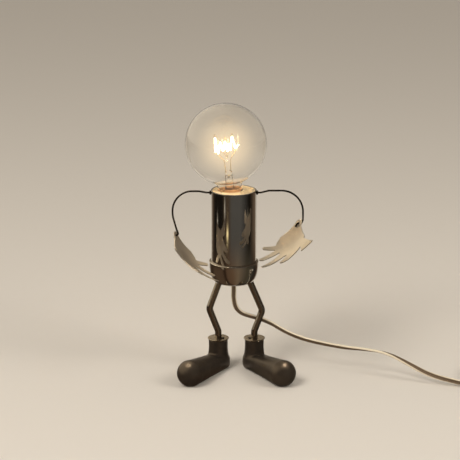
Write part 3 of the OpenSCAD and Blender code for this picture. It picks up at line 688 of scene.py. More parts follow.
core_radius = 0.00155
section = two_core_section(flex_width, core_radius)
places = [0, 0.10, 0.17, 0.22, 0.25, 0.30, 0.36, flex_length]
degrees = [0, 0, 8, 55, 90, 150, 180, 180]
flex_turn = np.radians(np.interp(np.linspace(0, flex_length, len(flex_line)), places, degrees))
flex_grid = swept(flex_line, section, (1, 0, 0), flex_turn)
flex = grid_piece("twin_flex", flex_grid, "flex_sheath", "stand",
                  ("cord_run", "cord_coil", "cord_tail"), cap=both_ends,
                  uv=(flex_step, 1 / len(section)))

# %% [markdown]
# ## Plug and tie
# The plug is moulded in one piece with its ribbed strain relief. It is a loft: an oval
# section whose half width, half height and squareness change along its length, and the
# ribs are a ripple in the two half sizes. The tie is a flat band bent round the coil.

# %% Lofted ovals
def oval(a, b, power, columns=48):
    """A superellipse: |x / a|^n + |z / b|^n = 1, with n = 2 an ellipse and more of it
    squarer. Each argument may hold one value for every row."""
    a, b, power = (np.asarray(v, float).reshape(-1, 1) for v in (a, b, power))
    angle = np.linspace(0, 2 * np.pi, columns, endpoint=False)[None, :]
    c, s = np.cos(angle), np.sin(angle)
    x = a * np.sign(c) * np.abs(c) ** (2 / power)
    z = b * np.sign(s) * np.abs(s) ** (2 / power)
    return x, z


def loft_rows(table, step):
    """The table's rows (place, a, b, n) filled in by straight mixes, step apart."""
    table = np.asarray(table, float)
    gone = np.concatenate([[0], np.cumsum(np.abs(np.diff(table[:, :3], axis=0)).sum(1))])
    at = np.unique(np.concatenate([gone, np.arange(0, gone[-1], step)]))
    return np.stack([np.interp(at, gone, table[:, k]) for k in range(4)], 1)


# %% Plug
plug_x, plug_height = 354, 6.5
rib_start, rib_end, rib_pitch, rib_depth = 7, 26.6, 2.45, 0.28
plug_rows = loft_rows([
    (6, 3.3, 3.3, 2), (6.3, 3.7, 3.7, 2), (27, 4.7, 4.7, 2), (28.2, 6.2, 5.0, 2.2),
    (30, 7.6, 5.5, 2.5), (34, 9.8, 6.1, 3), (42, 12.0, 6.4, 3.6), (48, 12.9, 6.5, 4),
    (59.0, 13.0, 6.5, 4), (59.7, 12.8, 6.3, 4), (60, 12.2, 5.8, 4), (60, 0.2, 0.1, 3),
], 0.45)
y = plug_rows[:, 0]
wave = rib_depth * np.cos(2 * np.pi * (y - rib_start) / rib_pitch) - rib_depth
ripple = np.where((y > rib_start) & (y < rib_end), wave, 0)
x, z = oval(plug_rows[:, 1] + ripple, plug_rows[:, 2] + ripple, plug_rows[:, 3])
plug_grid = in_part(np.stack([plug_x - x, y[:, None] + 0 * x, plug_height + z], -1))
plug = grid_piece("moulded_plug", plug_grid, "white_plastic", "stand", ("plug_body",),
                  sharp=50, cap=both_ends)

# %% Tie round the coil
coil_radius, tie_height, tie_way = 36, 6.85, math.radians(200)
across, up = (ring[0] for ring in oval(9.75, 6.75, 5, 72))
out = np.stack([np.gradient(up), -np.gradient(across)], 1)
out /= np.linalg.norm(out, axis=1, keepdims=True)
band = rounded([(-3, -0.35), (3, -0.35), (3, 0.35), (-3, 0.35)], [0.3] * 4, closed=True)
radial = coil_radius + across[:, None] + out[:, :1] * band[None, :, 1]
height = np.maximum(tie_height + up[:, None] + out[:, 1:] * band[None, :, 1], 0.05)
width = band[None, :, 0] + 0 * radial
c, s = math.cos(tie_way), math.sin(tie_way)
x = coil_middle[0] + radial * c - width * s
y = coil_middle[1] + radial * s + width * c
tie_grid = in_part(np.stack([x, y, height], -1))
tie = grid_piece("tie_band", tie_grid, "black_plastic", "stand", ("coil_tie",), sharp=60,
                 wrap_rows=True)

# %% [markdown]
# ## The body: tube, cup and plate
# The body is a length of chromed tube, seated in a pressed cup below and closed by a
# thin plate on top. All three are lathe work: a profile turned about the body's axis.
# The plate's hole is not in its middle, because the head leans, so its rows also shift
# sideways from the round rim to the round hole. Rounded edges matter more than the
# faces here: on polished metal they are the thin bright lines that show where it ends.

# %% Torso tube
tube_radius, tube_bore, tube_foot = 26.5, 25, 124
wall = rounded(
    [(tube_radius, tube_foot), (tube_radius, rim_height), (tube_bore, rim_height),
     (tube_bore, tube_foot)],
    [0.3, 0.55, 0.55, 0.2], closed=True, guard=1.0,
)
grid_piece("chrome_tube", in_part(lathe(wall, 160)), "chrome_body", "stand",
           ("torso_tube",), wrap_rows=True)

# %% Bottom cup
stem_hole, cup_floor, cup_rim, seat_radius = 5.05, 120.5, 135, 26.56
t = np.radians(np.arange(0, 91, 6))
drawn = np.stack([20 + 9 * np.sin(t), hip_height + 21.5 * (1 - np.cos(t))], 1)
shell = rounded(
    np.vstack([[(stem_hole, hip_height), (17.5, hip_height)], drawn,
               [(29, cup_rim), (seat_radius, cup_rim), (seat_radius, tube_foot),
                (24, tube_foot), (24, cup_floor), (stem_hole, cup_floor)]]),
    [0.3, 0] + [0] * len(drawn) + [0.7, 0.4, 0.3, 0.3, 1, 0.3], closed=True, guard=0.5,
)
grid_piece("drawn_cup", in_part(lathe(shell, 160)), "chrome_body", "stand",
           ("bottom_cup",), sharp=50, wrap_rows=True)

# %% Top plate
plate_radius, hole_radius, hole_shift = 24.95, 14.75, -4.39
edge_rows = rounded(
    [(plate_radius, 218.9), (plate_radius, 220.15), (15.6, 220.15), (15.2, 220.75),
     (hole_radius, 220.75), (hole_radius, 219.4), (24.1, 219.4), (24.1, 218.9)],
    [0.2, 0.5, 0.3, 0.2, 0.2, 0.1, 0.1, 0.1], closed=True, guard=0.4,
)
inward = np.clip((plate_radius - edge_rows[:, 0]) / (plate_radius - hole_radius), 0, 1)
plate_grid = lathe(edge_rows, 128)
plate_grid[..., 0] += (hole_shift * inward)[:, None]
grid_piece("lid_plate", in_part(plate_grid), "cream_plate", "stand", ("top_plate",),
           sharp=40, wrap_rows=True)

# %% [markdown]
# ## Legs
# Each leg is one bar of chromed rod with three bends: out at the hip, back in at the
# knee and straight down into the shoe. The corners come from the drawing and the bends
# are arcs between them. A skinned curve would give the same bar, but here the bend
# radius is a number that can be changed.

# %% Legs
stance, leg_radius, leg_sides = 5, 0.004, 40
ankle_of = {"left": -18.3, "right": 24.5}
for side_name, hip, knee, knee_height in (
    ("left", -17.5, -29.0, 74), ("right", 19.5, 33.8, 72),
):
    ankle, name = ankle_of[side_name], side_name + "_leg"
    corners = [(hip, stance, 118.5), (hip, stance, 106.5), (knee, stance, knee_height),
               (ankle, stance, 46), (ankle, stance, 14)]
    line = rounded(corners, [0, 7, 9, 9, 0], step=5, guard=2)
    grid_piece(name + "_bar", rod(in_part(line), leg_radius, leg_sides), "chrome_rod", "stand",
               (name,), sharp=70, cap=both_ends, uv=(0.02, 1 / leg_sides))

# %% [markdown]
# ## Shoes
# The shoes are heavy castings: a bulbous round toe, a foot that sinks towards the heel,
# and an upright cuff that the leg stands in. Foot and cuff are two closed surfaces.
# Where they meet, a casting has no crease but a soft fillet, so both are merged into
# one skin by a voxel remesh and then relaxed a little. Sculpting would do it by hand;
# this way the fillet is the same on both shoes.

# %% Foot and cuff
heel_radius, toe_radius, foot_length = 14, 15.7, 67
heel_end, toe_end, sunk = 13.98, 15.68, 1.2


def foot_grid(rows=90, columns=72):
    """Oval sections from heel to toe, in the shoe's frame with its cuff on Z.

    t runs from 0 at the cuff's axis to 1 at the toe's middle. The half width goes from
    14 to 15.7 with a slight waist, the top from 18 to 30.2 by a power of t, and the
    section from square to round. Past both ends the sizes shrink as a circle does, and
    the rows stop just short of its pole. The sections reach a little below the bench,
    and what would lie under it is flattened onto it.
    """
    u = (1 - np.cos(np.linspace(0, np.pi, rows))) / 2
    y = heel_end - u * (heel_end + foot_length + toe_end)
    t = np.clip(-y / foot_length, 0, 1)
    past_heel, past_toe = np.clip(y, 0, None), np.clip(-foot_length - y, 0, None)
    heel = np.sqrt(np.clip(1 - (past_heel / heel_radius) ** 2, 0, 1))
    toe = np.sqrt(np.clip(1 - (past_toe / toe_radius) ** 2, 0, 1))
    width = (heel_radius + 1.7 * t - 1.1 * np.sin(np.pi * t)) * heel * toe
    top = 18 + 12.2 * t ** 1.2
    middle, tall = (top - sunk) / 2, (top + sunk) / 2 * toe * heel ** 0.35
    x, z = oval(np.maximum(width, 0.02), np.maximum(tall, 0.02), 3.4 - 1.4 * t ** 0.6, columns)
    z = np.maximum(z + middle[:, None], 0)
    return np.stack([-x, y[:, None] + 0 * x, z], -1)


cuff_profile = rounded(
    [(0.3, 5), (12.9, 5), (12.9, 14), (11.7, 20), (11.3, 27), (11.3, 36.7), (0.3, 36.7)],
    [0, 0.5, 6, 10, 8, 0.7, 0], guard=0.5,
)

# %% One skin
def joined(name, parts):
    """One mesh of several grids, each closed at both ends."""
    points, faces, start = [], [], 0
    for grid in parts:
        faces += grid_faces(*grid.shape[:2], cap=both_ends, first=start)[0]
        points.append(grid.reshape(-1, 3))
        start += len(points[-1])
    mesh = bpy.data.meshes.new(name)
    mesh.from_pydata(np.vstack(points).tolist(), [], faces)
    return mesh


def settled(mesh, voxel, passes):
    """The mesh as one relaxed skin: voxel remesh, then smoothing, both applied."""
    thing = add(mesh.name, mesh)
    skin = thing.modifiers.new("one_skin", "REMESH")
    skin.mode, skin.voxel_size = "VOXEL", voxel
    relax = thing.modifiers.new("relax", "SMOOTH")
    relax.factor, relax.iterations = 0.5, passes
    done = bpy.data.meshes.new_from_object(
        thing.evaluated_get(bpy.context.evaluated_depsgraph_get())
    )
    name = mesh.name
    bpy.data.objects.remove(thing)
    bpy.data.meshes.remove(mesh)
    done.name = name
    return done


# %% Shoes in place
# After the remesh, points this near the bench are the sole's and are laid on it.
splay, sole_skin = math.radians(28.6), 0.35
for side_name, ankle in ankle_of.items():
    name, sign = side_name + "_shoe", math.copysign(1, ankle)
    parts = [0.001 * foot_grid(), 0.001 * lathe(cuff_profile, 72)]
    skin = settled(joined(name + "_casting", parts), voxel=0.0008, passes=7)
    co = np.empty(len(skin.vertices) * 3, np.float32)
    skin.vertices.foreach_get("co", co)
    x, y, z = co.reshape(-1, 3).T * 1000
    z = np.where(z < sole_skin, 0.0, z)
    c, s = math.cos(sign * splay), math.sin(sign * splay)
    placed = in_part(np.stack([ankle + x * c - y * s, stance + x * s + y * c, z], 1))
    skin.vertices.foreach_set("co", placed.astype(np.float32).reshape(-1))
    skin.update()
    finish_piece(name + "_casting", skin, "cast_shoe", "stand", (name,))

# %% Discs on the cuffs
disc = rounded([(4.15, 36.75), (12.6, 36.75), (12.6, 38.0), (4.15, 38.0)],
               [0.2, 0.45, 0.45, 0.3], closed=True, guard=0.4)
for side_name, ankle in ankle_of.items():
    name = side_name + "_cuff_disc"
    disc_grid = lathe(disc, 96) + np.array([ankle, stance, 0])
    grid_piece(name + "_turned", in_part(disc_grid), "steel_trim", "stand", (name,),
               wrap_rows=True)

# %% [markdown]
# ## Arms
# Each arm is one soft iron wire. It turns in a rolled eyelet at the shoulder, runs
# out, bends down, goes through the hole in the hand's wrist and ends in a short hook.
# So an arm can be bent to any gesture and the hand swings on its hook. The wire is
# the same rounded line and round bar as the legs.

# %% Shoulder eyelets
barrel = rounded(
    [(1.16, 24.3), (2.0, 24.3), (2.0, 24.92), (1.5, 24.92), (1.5, 26.5), (2.5, 26.5),
     (2.5, 28.3), (1.16, 28.3)],
    [0.1, 0.2, 0.2, 0.1, 0.1, 0.4, 0.7, 0.3], closed=True, guard=0.1,
)
for name, way in (("left_eyelet", -1), ("right_eyelet", 1)):
    eye = along_x(lathe(barrel, 40), way) + np.array([0, 0, shoulder_height])
    grid_piece(name + "_rolled", in_part(eye), "dark_wire", "stand", (name,), sharp=50,
               wrap_rows=True)

# %% Arm wires
arms = {
    "left": (
        [(-29.5, 0, shoulder_height), (-31.5, 0, shoulder_height), (-40.5, 0, 218.7),
         (-71.2, 0, 218.7), (-71.2, -3, 190.1), (-66.31, -13.45, 176.27),
         (-64.07, -15.25, 171.0), (-69.01, -13.48, 168.3), (-66.95, -15.13, 163.47)],
        [0, 8, 9, 23, 12, 4, 2, 1.8, 0],
    ),
    "right": (
        [(29.5, 0, shoulder_height), (31.5, 0, shoulder_height), (40.5, 0, 219.4),
         (80.5, 0, 219.4), (80.5, -1, 190.4), (80.01, -11.54, 187.02),
         (77.25, -13.6, 182.1), (73.63, -16.8, 185.47), (71.1, -18.69, 180.97)],
        [0, 8, 9, 25, 5, 3.5, 2, 1.8, 0],
    ),
}
wire_radius, burr, head_length, head_rise = 0.0011, 0.0004, 0.00075, 0.0006
for side_name, (corners, bends) in arms.items():
    line = rounded(corners, bends, step=5, guard=1)
    way = math.copysign(1, corners[0][0])
    head = np.array([(way * x, 0, shoulder_height) for x in (23.2, 23.9, 24.0)])
    line, radii = round_ends(in_part(np.vstack([head, line[1:]])), wire_radius, burr)
    radii[run_of(line) < head_length] += head_rise
    grid_piece(side_name + "_wire", rod(line, radii, 20), "dark_wire", side_name + "_arm",
               (side_name + "_arm_wire",), sharp=60, cap=both_ends)

# %% [markdown]
# ## Hands
# The hands are blanks stamped from thin sheet and dished over a round former, each
# hung on its wire by one hole. Their outline is the hard part: four fingers, a broad
# thumb and a wrist tab that run into each other in small fillets. It is written as a
# distance: every finger is the distance to a line less a width that tapers, the palm
# is the distance to a polygon, and a soft minimum joins them. A grid of small squares
# keeps those inside, and the squares' outer corners slide onto the outline.

# %% Distances
def to_line(x, y, a, b):
    """Distance to the line from a to b, and the share of its way where it is nearest."""
    (ax, ay), (bx, by) = a, b
    ex, ey = bx - ax, by - ay
    t = np.clip(((x - ax) * ex + (y - ay) * ey) / (ex * ex + ey * ey), 0, 1)
    return np.hypot(x - ax - t * ex, y - ay - t * ey), t


def to_finger(x, y, a, b, wide, narrow):
    """Distance to a tapering finger: that to its line, less half a width that goes from
    wide at a to narrow at b."""
    distance, t = to_line(x, y, a, b)
    return distance - (wide + (narrow - wide) * t) / 2


def to_polygon(x, y, corners):
    """Signed distance to a polygon: the nearest side's distance, negative inside,
    where a ray to the right crosses the outline an odd number of times."""
    nearest, inside = np.full(x.shape, 1e9), np.zeros(x.shape, bool)
    for a, b in zip(corners, corners[1:] + corners[:1]):
        nearest = np.minimum(nearest, to_line(x, y, a, b)[0])
        (ax, ay), (bx, by) = a, b
        inside ^= ((ay > y) != (by > y)) & (x < ax + (y - ay) * (bx - ax) / (by - ay or 1e-9))
    return np.where(inside, -nearest, nearest)


def soft_min(a, b, fillet):
    """The smaller of two distances, with a fillet where they are nearly equal."""
    h = np.clip(0.5 + 0.5 * (b - a) / fillet, 0, 1)
    return b + (a - b) * h - fillet * h * (1 - h)


# %% The hand's outline
palm_corners = [(-12, 9.5), (-17, 6), (-21, 0), (-22.5, -9), (-18.5, -18), (-14.4, -31),
                (-5.7, -31), (3, -24), (11, -19.5), (13, -6), (14, 4), (8, 14.5), (-3.2, 12)]
thumb_corners = [(8, -17.5), (23.5, -14.5), (41.7, -10), (31.9, 4.7), (20, -3.3), (11, -2)]
fingers = [((-12, 4), (-26.9, 13.8), 8, 5), ((-9, 6), (-13, 31), 8.5, 5.5),
           ((1.5, 8), (7.5, 42.5), 10, 6), ((13, 2), (21, 25), 14, 9)]
wrist_hole, wrist_bore, tab_radius, web_fillet = (-10, -32), 1.2, 4.5, 1.2


def to_hand(x, y):
    """Signed distance to the whole blank, with the wire's hole taken out."""
    from_hole = np.hypot(x - wrist_hole[0], y - wrist_hole[1])
    d = np.minimum(to_polygon(x, y, palm_corners), from_hole - tab_radius)
    for finger in fingers:
        d = soft_min(d, to_finger(x, y, *finger), web_fillet)
    d = soft_min(d, to_polygon(x, y, thumb_corners), web_fillet)
    return np.maximum(d, wrist_bore - from_hole)


def stamped_blank(cell=0.6, nudge=0.05):
    """Flat points and squares of the blank: squares whose middle is inside are kept,
    and every corner with fewer than four of them slides down the distance's slope by
    the distance itself, onto the outline."""
    xs, ys = np.arange(-33, 44, cell), np.arange(-38, 47, cell)
    x, y = np.meshgrid(xs, ys, indexing="ij")
    keep = to_hand(x[:-1, :-1] + cell / 2, y[:-1, :-1] + cell / 2) < 0
    i, j = np.nonzero(keep)
    n = len(ys)
    quads = np.stack([i * n + j, (i + 1) * n + j, (i + 1) * n + j + 1, i * n + j + 1], 1)
    used, quads = np.unique(quads, return_inverse=True)
    quads = quads.reshape(-1, 4)
    x, y = x.reshape(-1)[used], y.reshape(-1)[used]
    rim = np.bincount(quads.reshape(-1), minlength=len(used)) < 4
    for _ in range(3):
        d = to_hand(x, y)
        gx = (to_hand(x + nudge, y) - to_hand(x - nudge, y)) / (2 * nudge)
        gy = (to_hand(x, y + nudge) - to_hand(x, y - nudge)) / (2 * nudge)
        step = np.where(rim, np.clip(d, -cell, cell), 0)
        x, y = x - gx * step, y - gy * step
    return x, y, quads


blank_x, blank_y, blank_quads = stamped_blank()
print("hand blank", len(blank_quads), "squares")

# %% Dishing and hanging
def turned(x, y, z):
    """The rotation that turns about X, then Y, then Z, in degrees."""
    (a, b, c), (sa, sb, sc) = np.cos(np.radians([x, y, z])), np.sin(np.radians([x, y, z]))
    about_x = np.array([[1, 0, 0], [0, a, -sa], [0, sa, a]])
    about_y = np.array([[b, 0, sb], [0, 1, 0], [-sb, 0, b]])
    about_z = np.array([[c, -sc, 0], [sc, c, 0], [0, 0, 1]])
    return about_z @ about_y @ about_x


def dished(x, y, radius=86.0):
    """The blank pressed over a ball: z = R - sqrt(R^2 - x^2 - y^2)."""
    return np.stack([x, y, radius - np.sqrt(radius**2 - x**2 - y**2)], 1)


pin = dished(*np.array(wrist_hole, float)[:, None])[0]
for side_name, place, turn, flip in (
    ("left", (-67.0, -14.2, 169.4), (-41.5, -13.4, -109), 1),
    ("right", (75.1, -15.5, 184.1), (-33.3, 3.8, 126), -1),
):
    points = (dished(blank_x, blank_y) - pin) * np.array([flip, 1, 1])
    points = points @ turned(*turn).T + np.array(place)
    quads = blank_quads if flip > 0 else blank_quads[:, ::-1]
    mesh = bpy.data.meshes.new(side_name + "_stamping")
    mesh.from_pydata(in_part(points).tolist(), [], quads.tolist())
    flat = np.stack([blank_x, blank_y], 1)[quads.reshape(-1)] * 0.01
    mesh.uv_layers.new(name="UVMap").data.foreach_set("uv", flat.reshape(-1))
    hand = finish_piece(side_name + "_stamping", mesh, "hand_steel", side_name + "_hand",
                        (side_name + "_hand",), sharp=40)
    sheet = hand.modifiers.new("sheet", "SOLIDIFY")
    sheet.thickness, sheet.offset = 0.001, 0
    brim = hand.modifiers.new("brim", "BEVEL")
    brim.width, brim.segments, brim.limit_method = 0.0003, 2, "ANGLE"
    brim.angle_limit = math.radians(60)

# %% [markdown]
# ## The bulb
# The head is a big clear globe. Glass only looks like glass when light can bend in and
# out of it, so the shell has an inner and an outer face, one millimetre apart, joined
# at the rim inside the cap. One profile runs down the inside and up the outside.

# %% Globe
globe_radius, globe_height, neck_angle, flare_radius, glass_wall = 47.5, 105, 22.53, 6, 1.0


def glass_side(inset):
    """The globe's outline, `inset` inside the outer face: neck, an arc of 6 mm plus
    the inset that curves outwards, then the ball of 47.5 mm less the inset."""
    bend = np.radians(np.linspace(180, 180 - (90 - neck_angle), 12))
    ball = np.radians(np.linspace(neck_angle, 179.6, 64))
    neck = [(12.2 - inset, 47), (12.2 - inset, 52.6), (13.0 - inset, 54), (14.5 - inset, 55.2)]
    curl = flare_radius + inset
    flare = np.stack([20.5 + curl * np.cos(bend), 55.58 + curl * np.sin(bend)], 1)
    belly = np.stack([np.sin(ball), -np.cos(ball)], 1) * (globe_radius - inset)
    return np.vstack([neck, flare, (belly + [0, globe_height])[1:]])


shell_rows = np.vstack([glass_side(glass_wall)[::-1], glass_side(0.0)])
grid_piece("clear_globe", in_head(lathe(shell_rows, 128)), "clear_glass", "bulb",
           ("glass_globe",), cap=both_ends)

# %% Glass foot, rod and button
foot_rows = loft_rows([
    (47.3, 11.1, 11.1, 2), (48.2, 10.2, 10.2, 2), (49.5, 8.0, 8.0, 2), (51, 6.4, 6.4, 2),
    (54, 5.3, 5.3, 2), (58, 4.7, 4.7, 2), (63, 4.4, 4.2, 2), (66, 4.3, 3.4, 2.4),
    (69, 4.3, 2.3, 3), (71, 4.25, 1.85, 4), (72.4, 4.1, 1.75, 4), (73.1, 3.4, 1.5, 3),
    (73.4, 2.0, 1.45, 2.4), (74.2, 1.45, 1.4, 2), (80, 1.4, 1.4, 2), (85.6, 1.4, 1.4, 2),
    (86.2, 1.7, 1.7, 2), (87.1, 2.2, 2.2, 2), (88, 2.4, 2.4, 2), (88.9, 2.2, 2.2, 2),
    (89.7, 1.6, 1.6, 2), (90.2, 0.9, 0.9, 2), (90.4, 0.1, 0.1, 2),
], 0.8)
x, y = oval(foot_rows[:, 1], foot_rows[:, 2], foot_rows[:, 3], 40)
foot = np.stack([x, y, foot_rows[:, :1] + 0 * x], -1)
grid_piece("glass_foot", in_head(foot), "clear_glass", "bulb", ("glass_mount",),
           cap=both_ends)

# %% [markdown]
# ## Filament and its wires
# The filament is a long coil of thin wire, strung up and down between two leads and
# three hooks. It is a helix round a zigzag line: the line's side and rise carry a
# small circle that turns once for each pitch. The leads rise side by side and then
# spread, with a quadratic curve at the knee, and the hooks are plain rods with a ring.

# %% Filament
coil_pitch, coil_offset, hot_wire_radius = 0.8, 0.7, 0.0002
zig = [(-13.2, 6, 95), (-12.2, 5, 115), (-9.8, -3, 94), (-5.6, -8, 112), (-4.2, -9.5, 95.5),
       (-0.4, -11, 115), (1.2, -11.2, 88.5), (3.4, -10.5, 116), (4.6, -9, 94.5), (7.8, -6, 117),
       (10.2, -2, 99.5), (14.6, 1, 103)]
zig_line = evenly(rounded(zig, [0] + [0.8] * 10 + [0], step=20, guard=0.5), 0.09)
_, side, rise = frames_along(zig_line, (0, 1, 0))
phase = 2 * np.pi * np.linspace(0, length_of(zig_line) / coil_pitch, len(zig_line))[:, None]
coil_line = zig_line + coil_offset * (side * np.cos(phase) + rise * np.sin(phase))
grid_piece("coiled_filament", rod(in_head(coil_line), hot_wire_radius, 5),
           "glowing_filament", "bulb", ("filament",), cap=both_ends)

# %% Leads and hooks
wires = []
share = np.linspace(0, 1, 7)[:, None]
for k, start, knee in (
    (0, (-3, -0.8, 73), (-3.4, -0.6, 86)), (11, (3, 0.8, 73), (3.4, 0.9, 86)),
):
    start, knee, end = np.array(start, float), np.array(knee), np.array(zig[k])
    up, out = knee - start, unit(end - knee)
    before, after = knee - up * 0.2, knee + out * 2.6
    bend = (1 - share) ** 2 * before + 2 * share * (1 - share) * knee + share ** 2 * after
    bead = start + up * 0.5
    line = np.vstack([start - up * 0.15, start, bead - up * 0.04, bead, bead + up * 0.04,
                      bend, end])
    wires.append((line, [0.45, 0.45, 0.45, 0.75, 0.4] + [0.35] * 8))
button, hook_radius = np.array([0, 0, 88.0]), 1.0
turn = np.linspace(-0.5 * np.pi, 1.2 * np.pi, 14)[:, None]
for k in (1, 5, 9):
    end = np.array(zig[k])
    way = unit(end - button)
    sideways = unit(np.cross(way, (0, 0, 1.0)))
    lift = np.cross(sideways, way)
    ring = end + hook_radius * (way * np.sin(turn) + lift * np.cos(turn))
    wires.append((np.vstack([button + way * 1.2, ring]), [0.25] * 15))
wire_grids = [rod(in_head(line), 0.001 * np.array(radii), 12, (0, 1, 0.1))
              for line, radii in wires]
finish_piece("leads_and_hooks", joined("leads_and_hooks", wire_grids), "brass_fittings",
             "bulb", ("lead_wires",), sharp=60)

# %% [markdown]
# ## Studio
# The lamp stands on a wide pale floor under soft lamps, with a weak warm light in the
# bulb itself, because it is lit. Polished metal shows its room more than its own
# colour, so the room has a dark side: sheets that only reflections can see lie in
# front of the lamp, out of view. They put the deep bands and the streaks of light in
# the chrome that make it read as chrome.

# %% Floor
def stage_piece(name, grid, material, **wrap):
    """A piece of the studio, which isn't part of the lamp."""
    thing = add(name, mesh_from_grid(name, grid, **wrap))
    thing.data.materials.append(material)
    return thing


def hide(thing, *rays):
    """Lets these kinds of ray pass the thing by."""
    for ray in rays:
        setattr(thing, "visible_" + ray, False)


new_finish("studio_floor", (0.76, 0.71, 0.64), roughness=0.85)
radius = np.array([0.001, 0.5, 1, 2, 4, 8])
floor_grid = lathe(np.stack([radius, 0 * radius], 1), 64)[::-1]
stage_piece("studio_floor", floor_grid, finishes["studio_floor"], cap=("end",))

# %% Sheets that only reflections see
def empty_tree(owner):
    """The node tree of a material or world, with nothing in it."""
    owner.use_nodes = True
    owner.node_tree.nodes.clear()
    return owner.node_tree


sector_rows, sector_columns, middle_reach = 17, 49, 0.01


def reflection_sheet(name, near, far, start, end, stops, soft_side, soft_end, height):
    """A flat ring sector on the floor, from near to far metres and from start to end
    degrees, counted from straight ahead of the lamp. Only reflections see it. Its
    stops are (share of the way round, colour), and it fades out towards its borders:
    U runs outwards and V runs round, and a border's fade is the distance to it divided
    by the soft width. One that starts at the middle fades at its far border only."""
    angle = np.radians(np.linspace(start, end, sector_columns) - 90)[None, :]
    reach = (near + (far - near) * np.linspace(0, 1, sector_rows) ** 2)[:, None]
    grid = np.stack([reach * np.cos(angle), reach * np.sin(angle),
                     0 * reach * angle + height], -1)
    material = bpy.data.materials.new(name)
    tree = empty_tree(material)
    uv = node(tree, "UVMap", (-1000, 0), uv_map="UVMap")
    split = node(tree, "SeparateXYZ", (-800, 0))
    ramp = node(tree, "ValToRGB", (-500, 200))
    set_stops(ramp, stops)
    link(tree, (uv, "UV", split, "Vector"), (split, "Y", ramp, "Fac"))
    fade = node(tree, "Math", (-200, -200), operation="MULTIPLY")
    for k, (axis, soft) in enumerate((("Y", soft_side), ("X", soft_end))):
        one_border = axis == "X" and near < middle_reach
        fold = node(tree, "Math", (-600, -200 * k), {0: 1.0} if one_border else {1: 0.5},
                    operation="SUBTRACT" if one_border else "PINGPONG")
        edge = node(tree, "MapRange", (-400, -200 * k),
                    interpolation_type="SMOOTHSTEP", From_Max=soft)
        link(tree, (split, axis, fold, int(one_border)), (fold, "Value", edge, "Value"),
             (edge, "Result", fade, k))
    light = node(tree, "Emission", (0, 100))
    clear = node(tree, "BsdfTransparent", (0, -100))
    mixed = node(tree, "MixShader", (200, 0))
    out = node(tree, "OutputMaterial", (400, 0))
    link(
        tree,
        (ramp, "Color", light, "Color"), (fade, "Value", mixed, 0), (clear, "BSDF", mixed, 1),
        (light, "Emission", mixed, 2), (mixed, "Shader", out, "Surface"),
    )
    thing = stage_piece(name, grid, material, wrap_columns=False,
                        uv=(1 / (sector_rows - 1), 1 / (sector_columns - 1)))
    hide(thing, "camera", "diffuse", "shadow", "transmission", "volume_scatter")
    print(name, "from", near, "to", far, "m")


# %% Dark side of the room
black, brown, grey = (0.014, 0.011, 0.008), (0.075, 0.052, 0.034), (0.105, 0.098, 0.086)
rust, near_brown = (0.17, 0.12, 0.08), (0.085, 0.058, 0.037)
dim_grey = (0.055, 0.051, 0.045)
wide_start, wide_end, side_fade = -150.0, 150.0, 0.05
for name, near, far, end_fade, height, stops in (
    ("dark_room", 0.05, 3.2, 0.08, 0.002, [
        (-140, rust), (-112, black), (-62, black), (-46, brown), (-26, near_brown),
        (-12, grey), (34, grey), (58, dim_grey), (80, black), (90, black), (106, brown),
        (130, rust)]),
    ("brown_near", 0.001, 0.62, 0.22, 0.003, [
        (-146, (0.13, 0.09, 0.055)), (-122, (0.04, 0.024, 0.015)),
        (-100, (0.10, 0.062, 0.036)), (-58, (0.095, 0.058, 0.034)),
        (-43, (0.032, 0.017, 0.009)), (-34, (0.12, 0.070, 0.040)),
        (-8, (0.15, 0.09, 0.05)), (20, (0.20, 0.145, 0.090)),
        (46, (0.12, 0.092, 0.062)), (66, (0.075, 0.060, 0.036)),
        (92, (0.080, 0.068, 0.050)), (112, (0.030, 0.024, 0.018)),
        (128, (0.05, 0.032, 0.022)), (146, (0.12, 0.075, 0.045))]),
):
    shares = [((degrees - wide_start) / (wide_end - wide_start), tone)
              for degrees, tone in stops]
    reflection_sheet(name, near, far, wide_start, wide_end, shares, side_fade, end_fade, height)

# %% Streaks of light
streak_fade, streak_height = 0.5, 0.004
for name, near, far, start, end, tone in (
    ("yellow_streak", 0.59, 0.69, -41, -25, (2.3, 1.85, 0.95)),
    ("white_streak", 0.73, 0.86, -51, -43, (1.3, 1.18, 0.95)),
    ("left_streak", 0.68, 0.75, -96, -86, (1.0, 0.90, 0.74)),
    ("right_streak", 0.66, 0.76, 72, 80, (0.8, 0.68, 0.48)),
):
    reflection_sheet(name, near, far, start, end, [(0, tone), (1, tone)], streak_fade,
                     streak_fade, streak_height)

# %% [markdown]
# ## Lamps
# Two square lamps light the whole scene softly from above. Two narrow ones only put a
# highlight on each round toe, so they give no diffuse light, and a weak warm point
# inside the globe lets the bulb light the plate and the shoulders.

# %% Lamps
def lamp(name, kind, place, power, colour, unseen, target=None, **settings):
    """A lamp of a kind that the unseen kinds of ray pass by, aimed if it has a target."""
    data = bpy.data.lights.new(name, kind)
    data.energy, data.color = power, colour
    for key, value in settings.items():
        setattr(data, key, value)
    thing = add(name, data)
    thing.location = place
    if target:
        aimed(thing, place, target)
    hide(thing, *unseen)


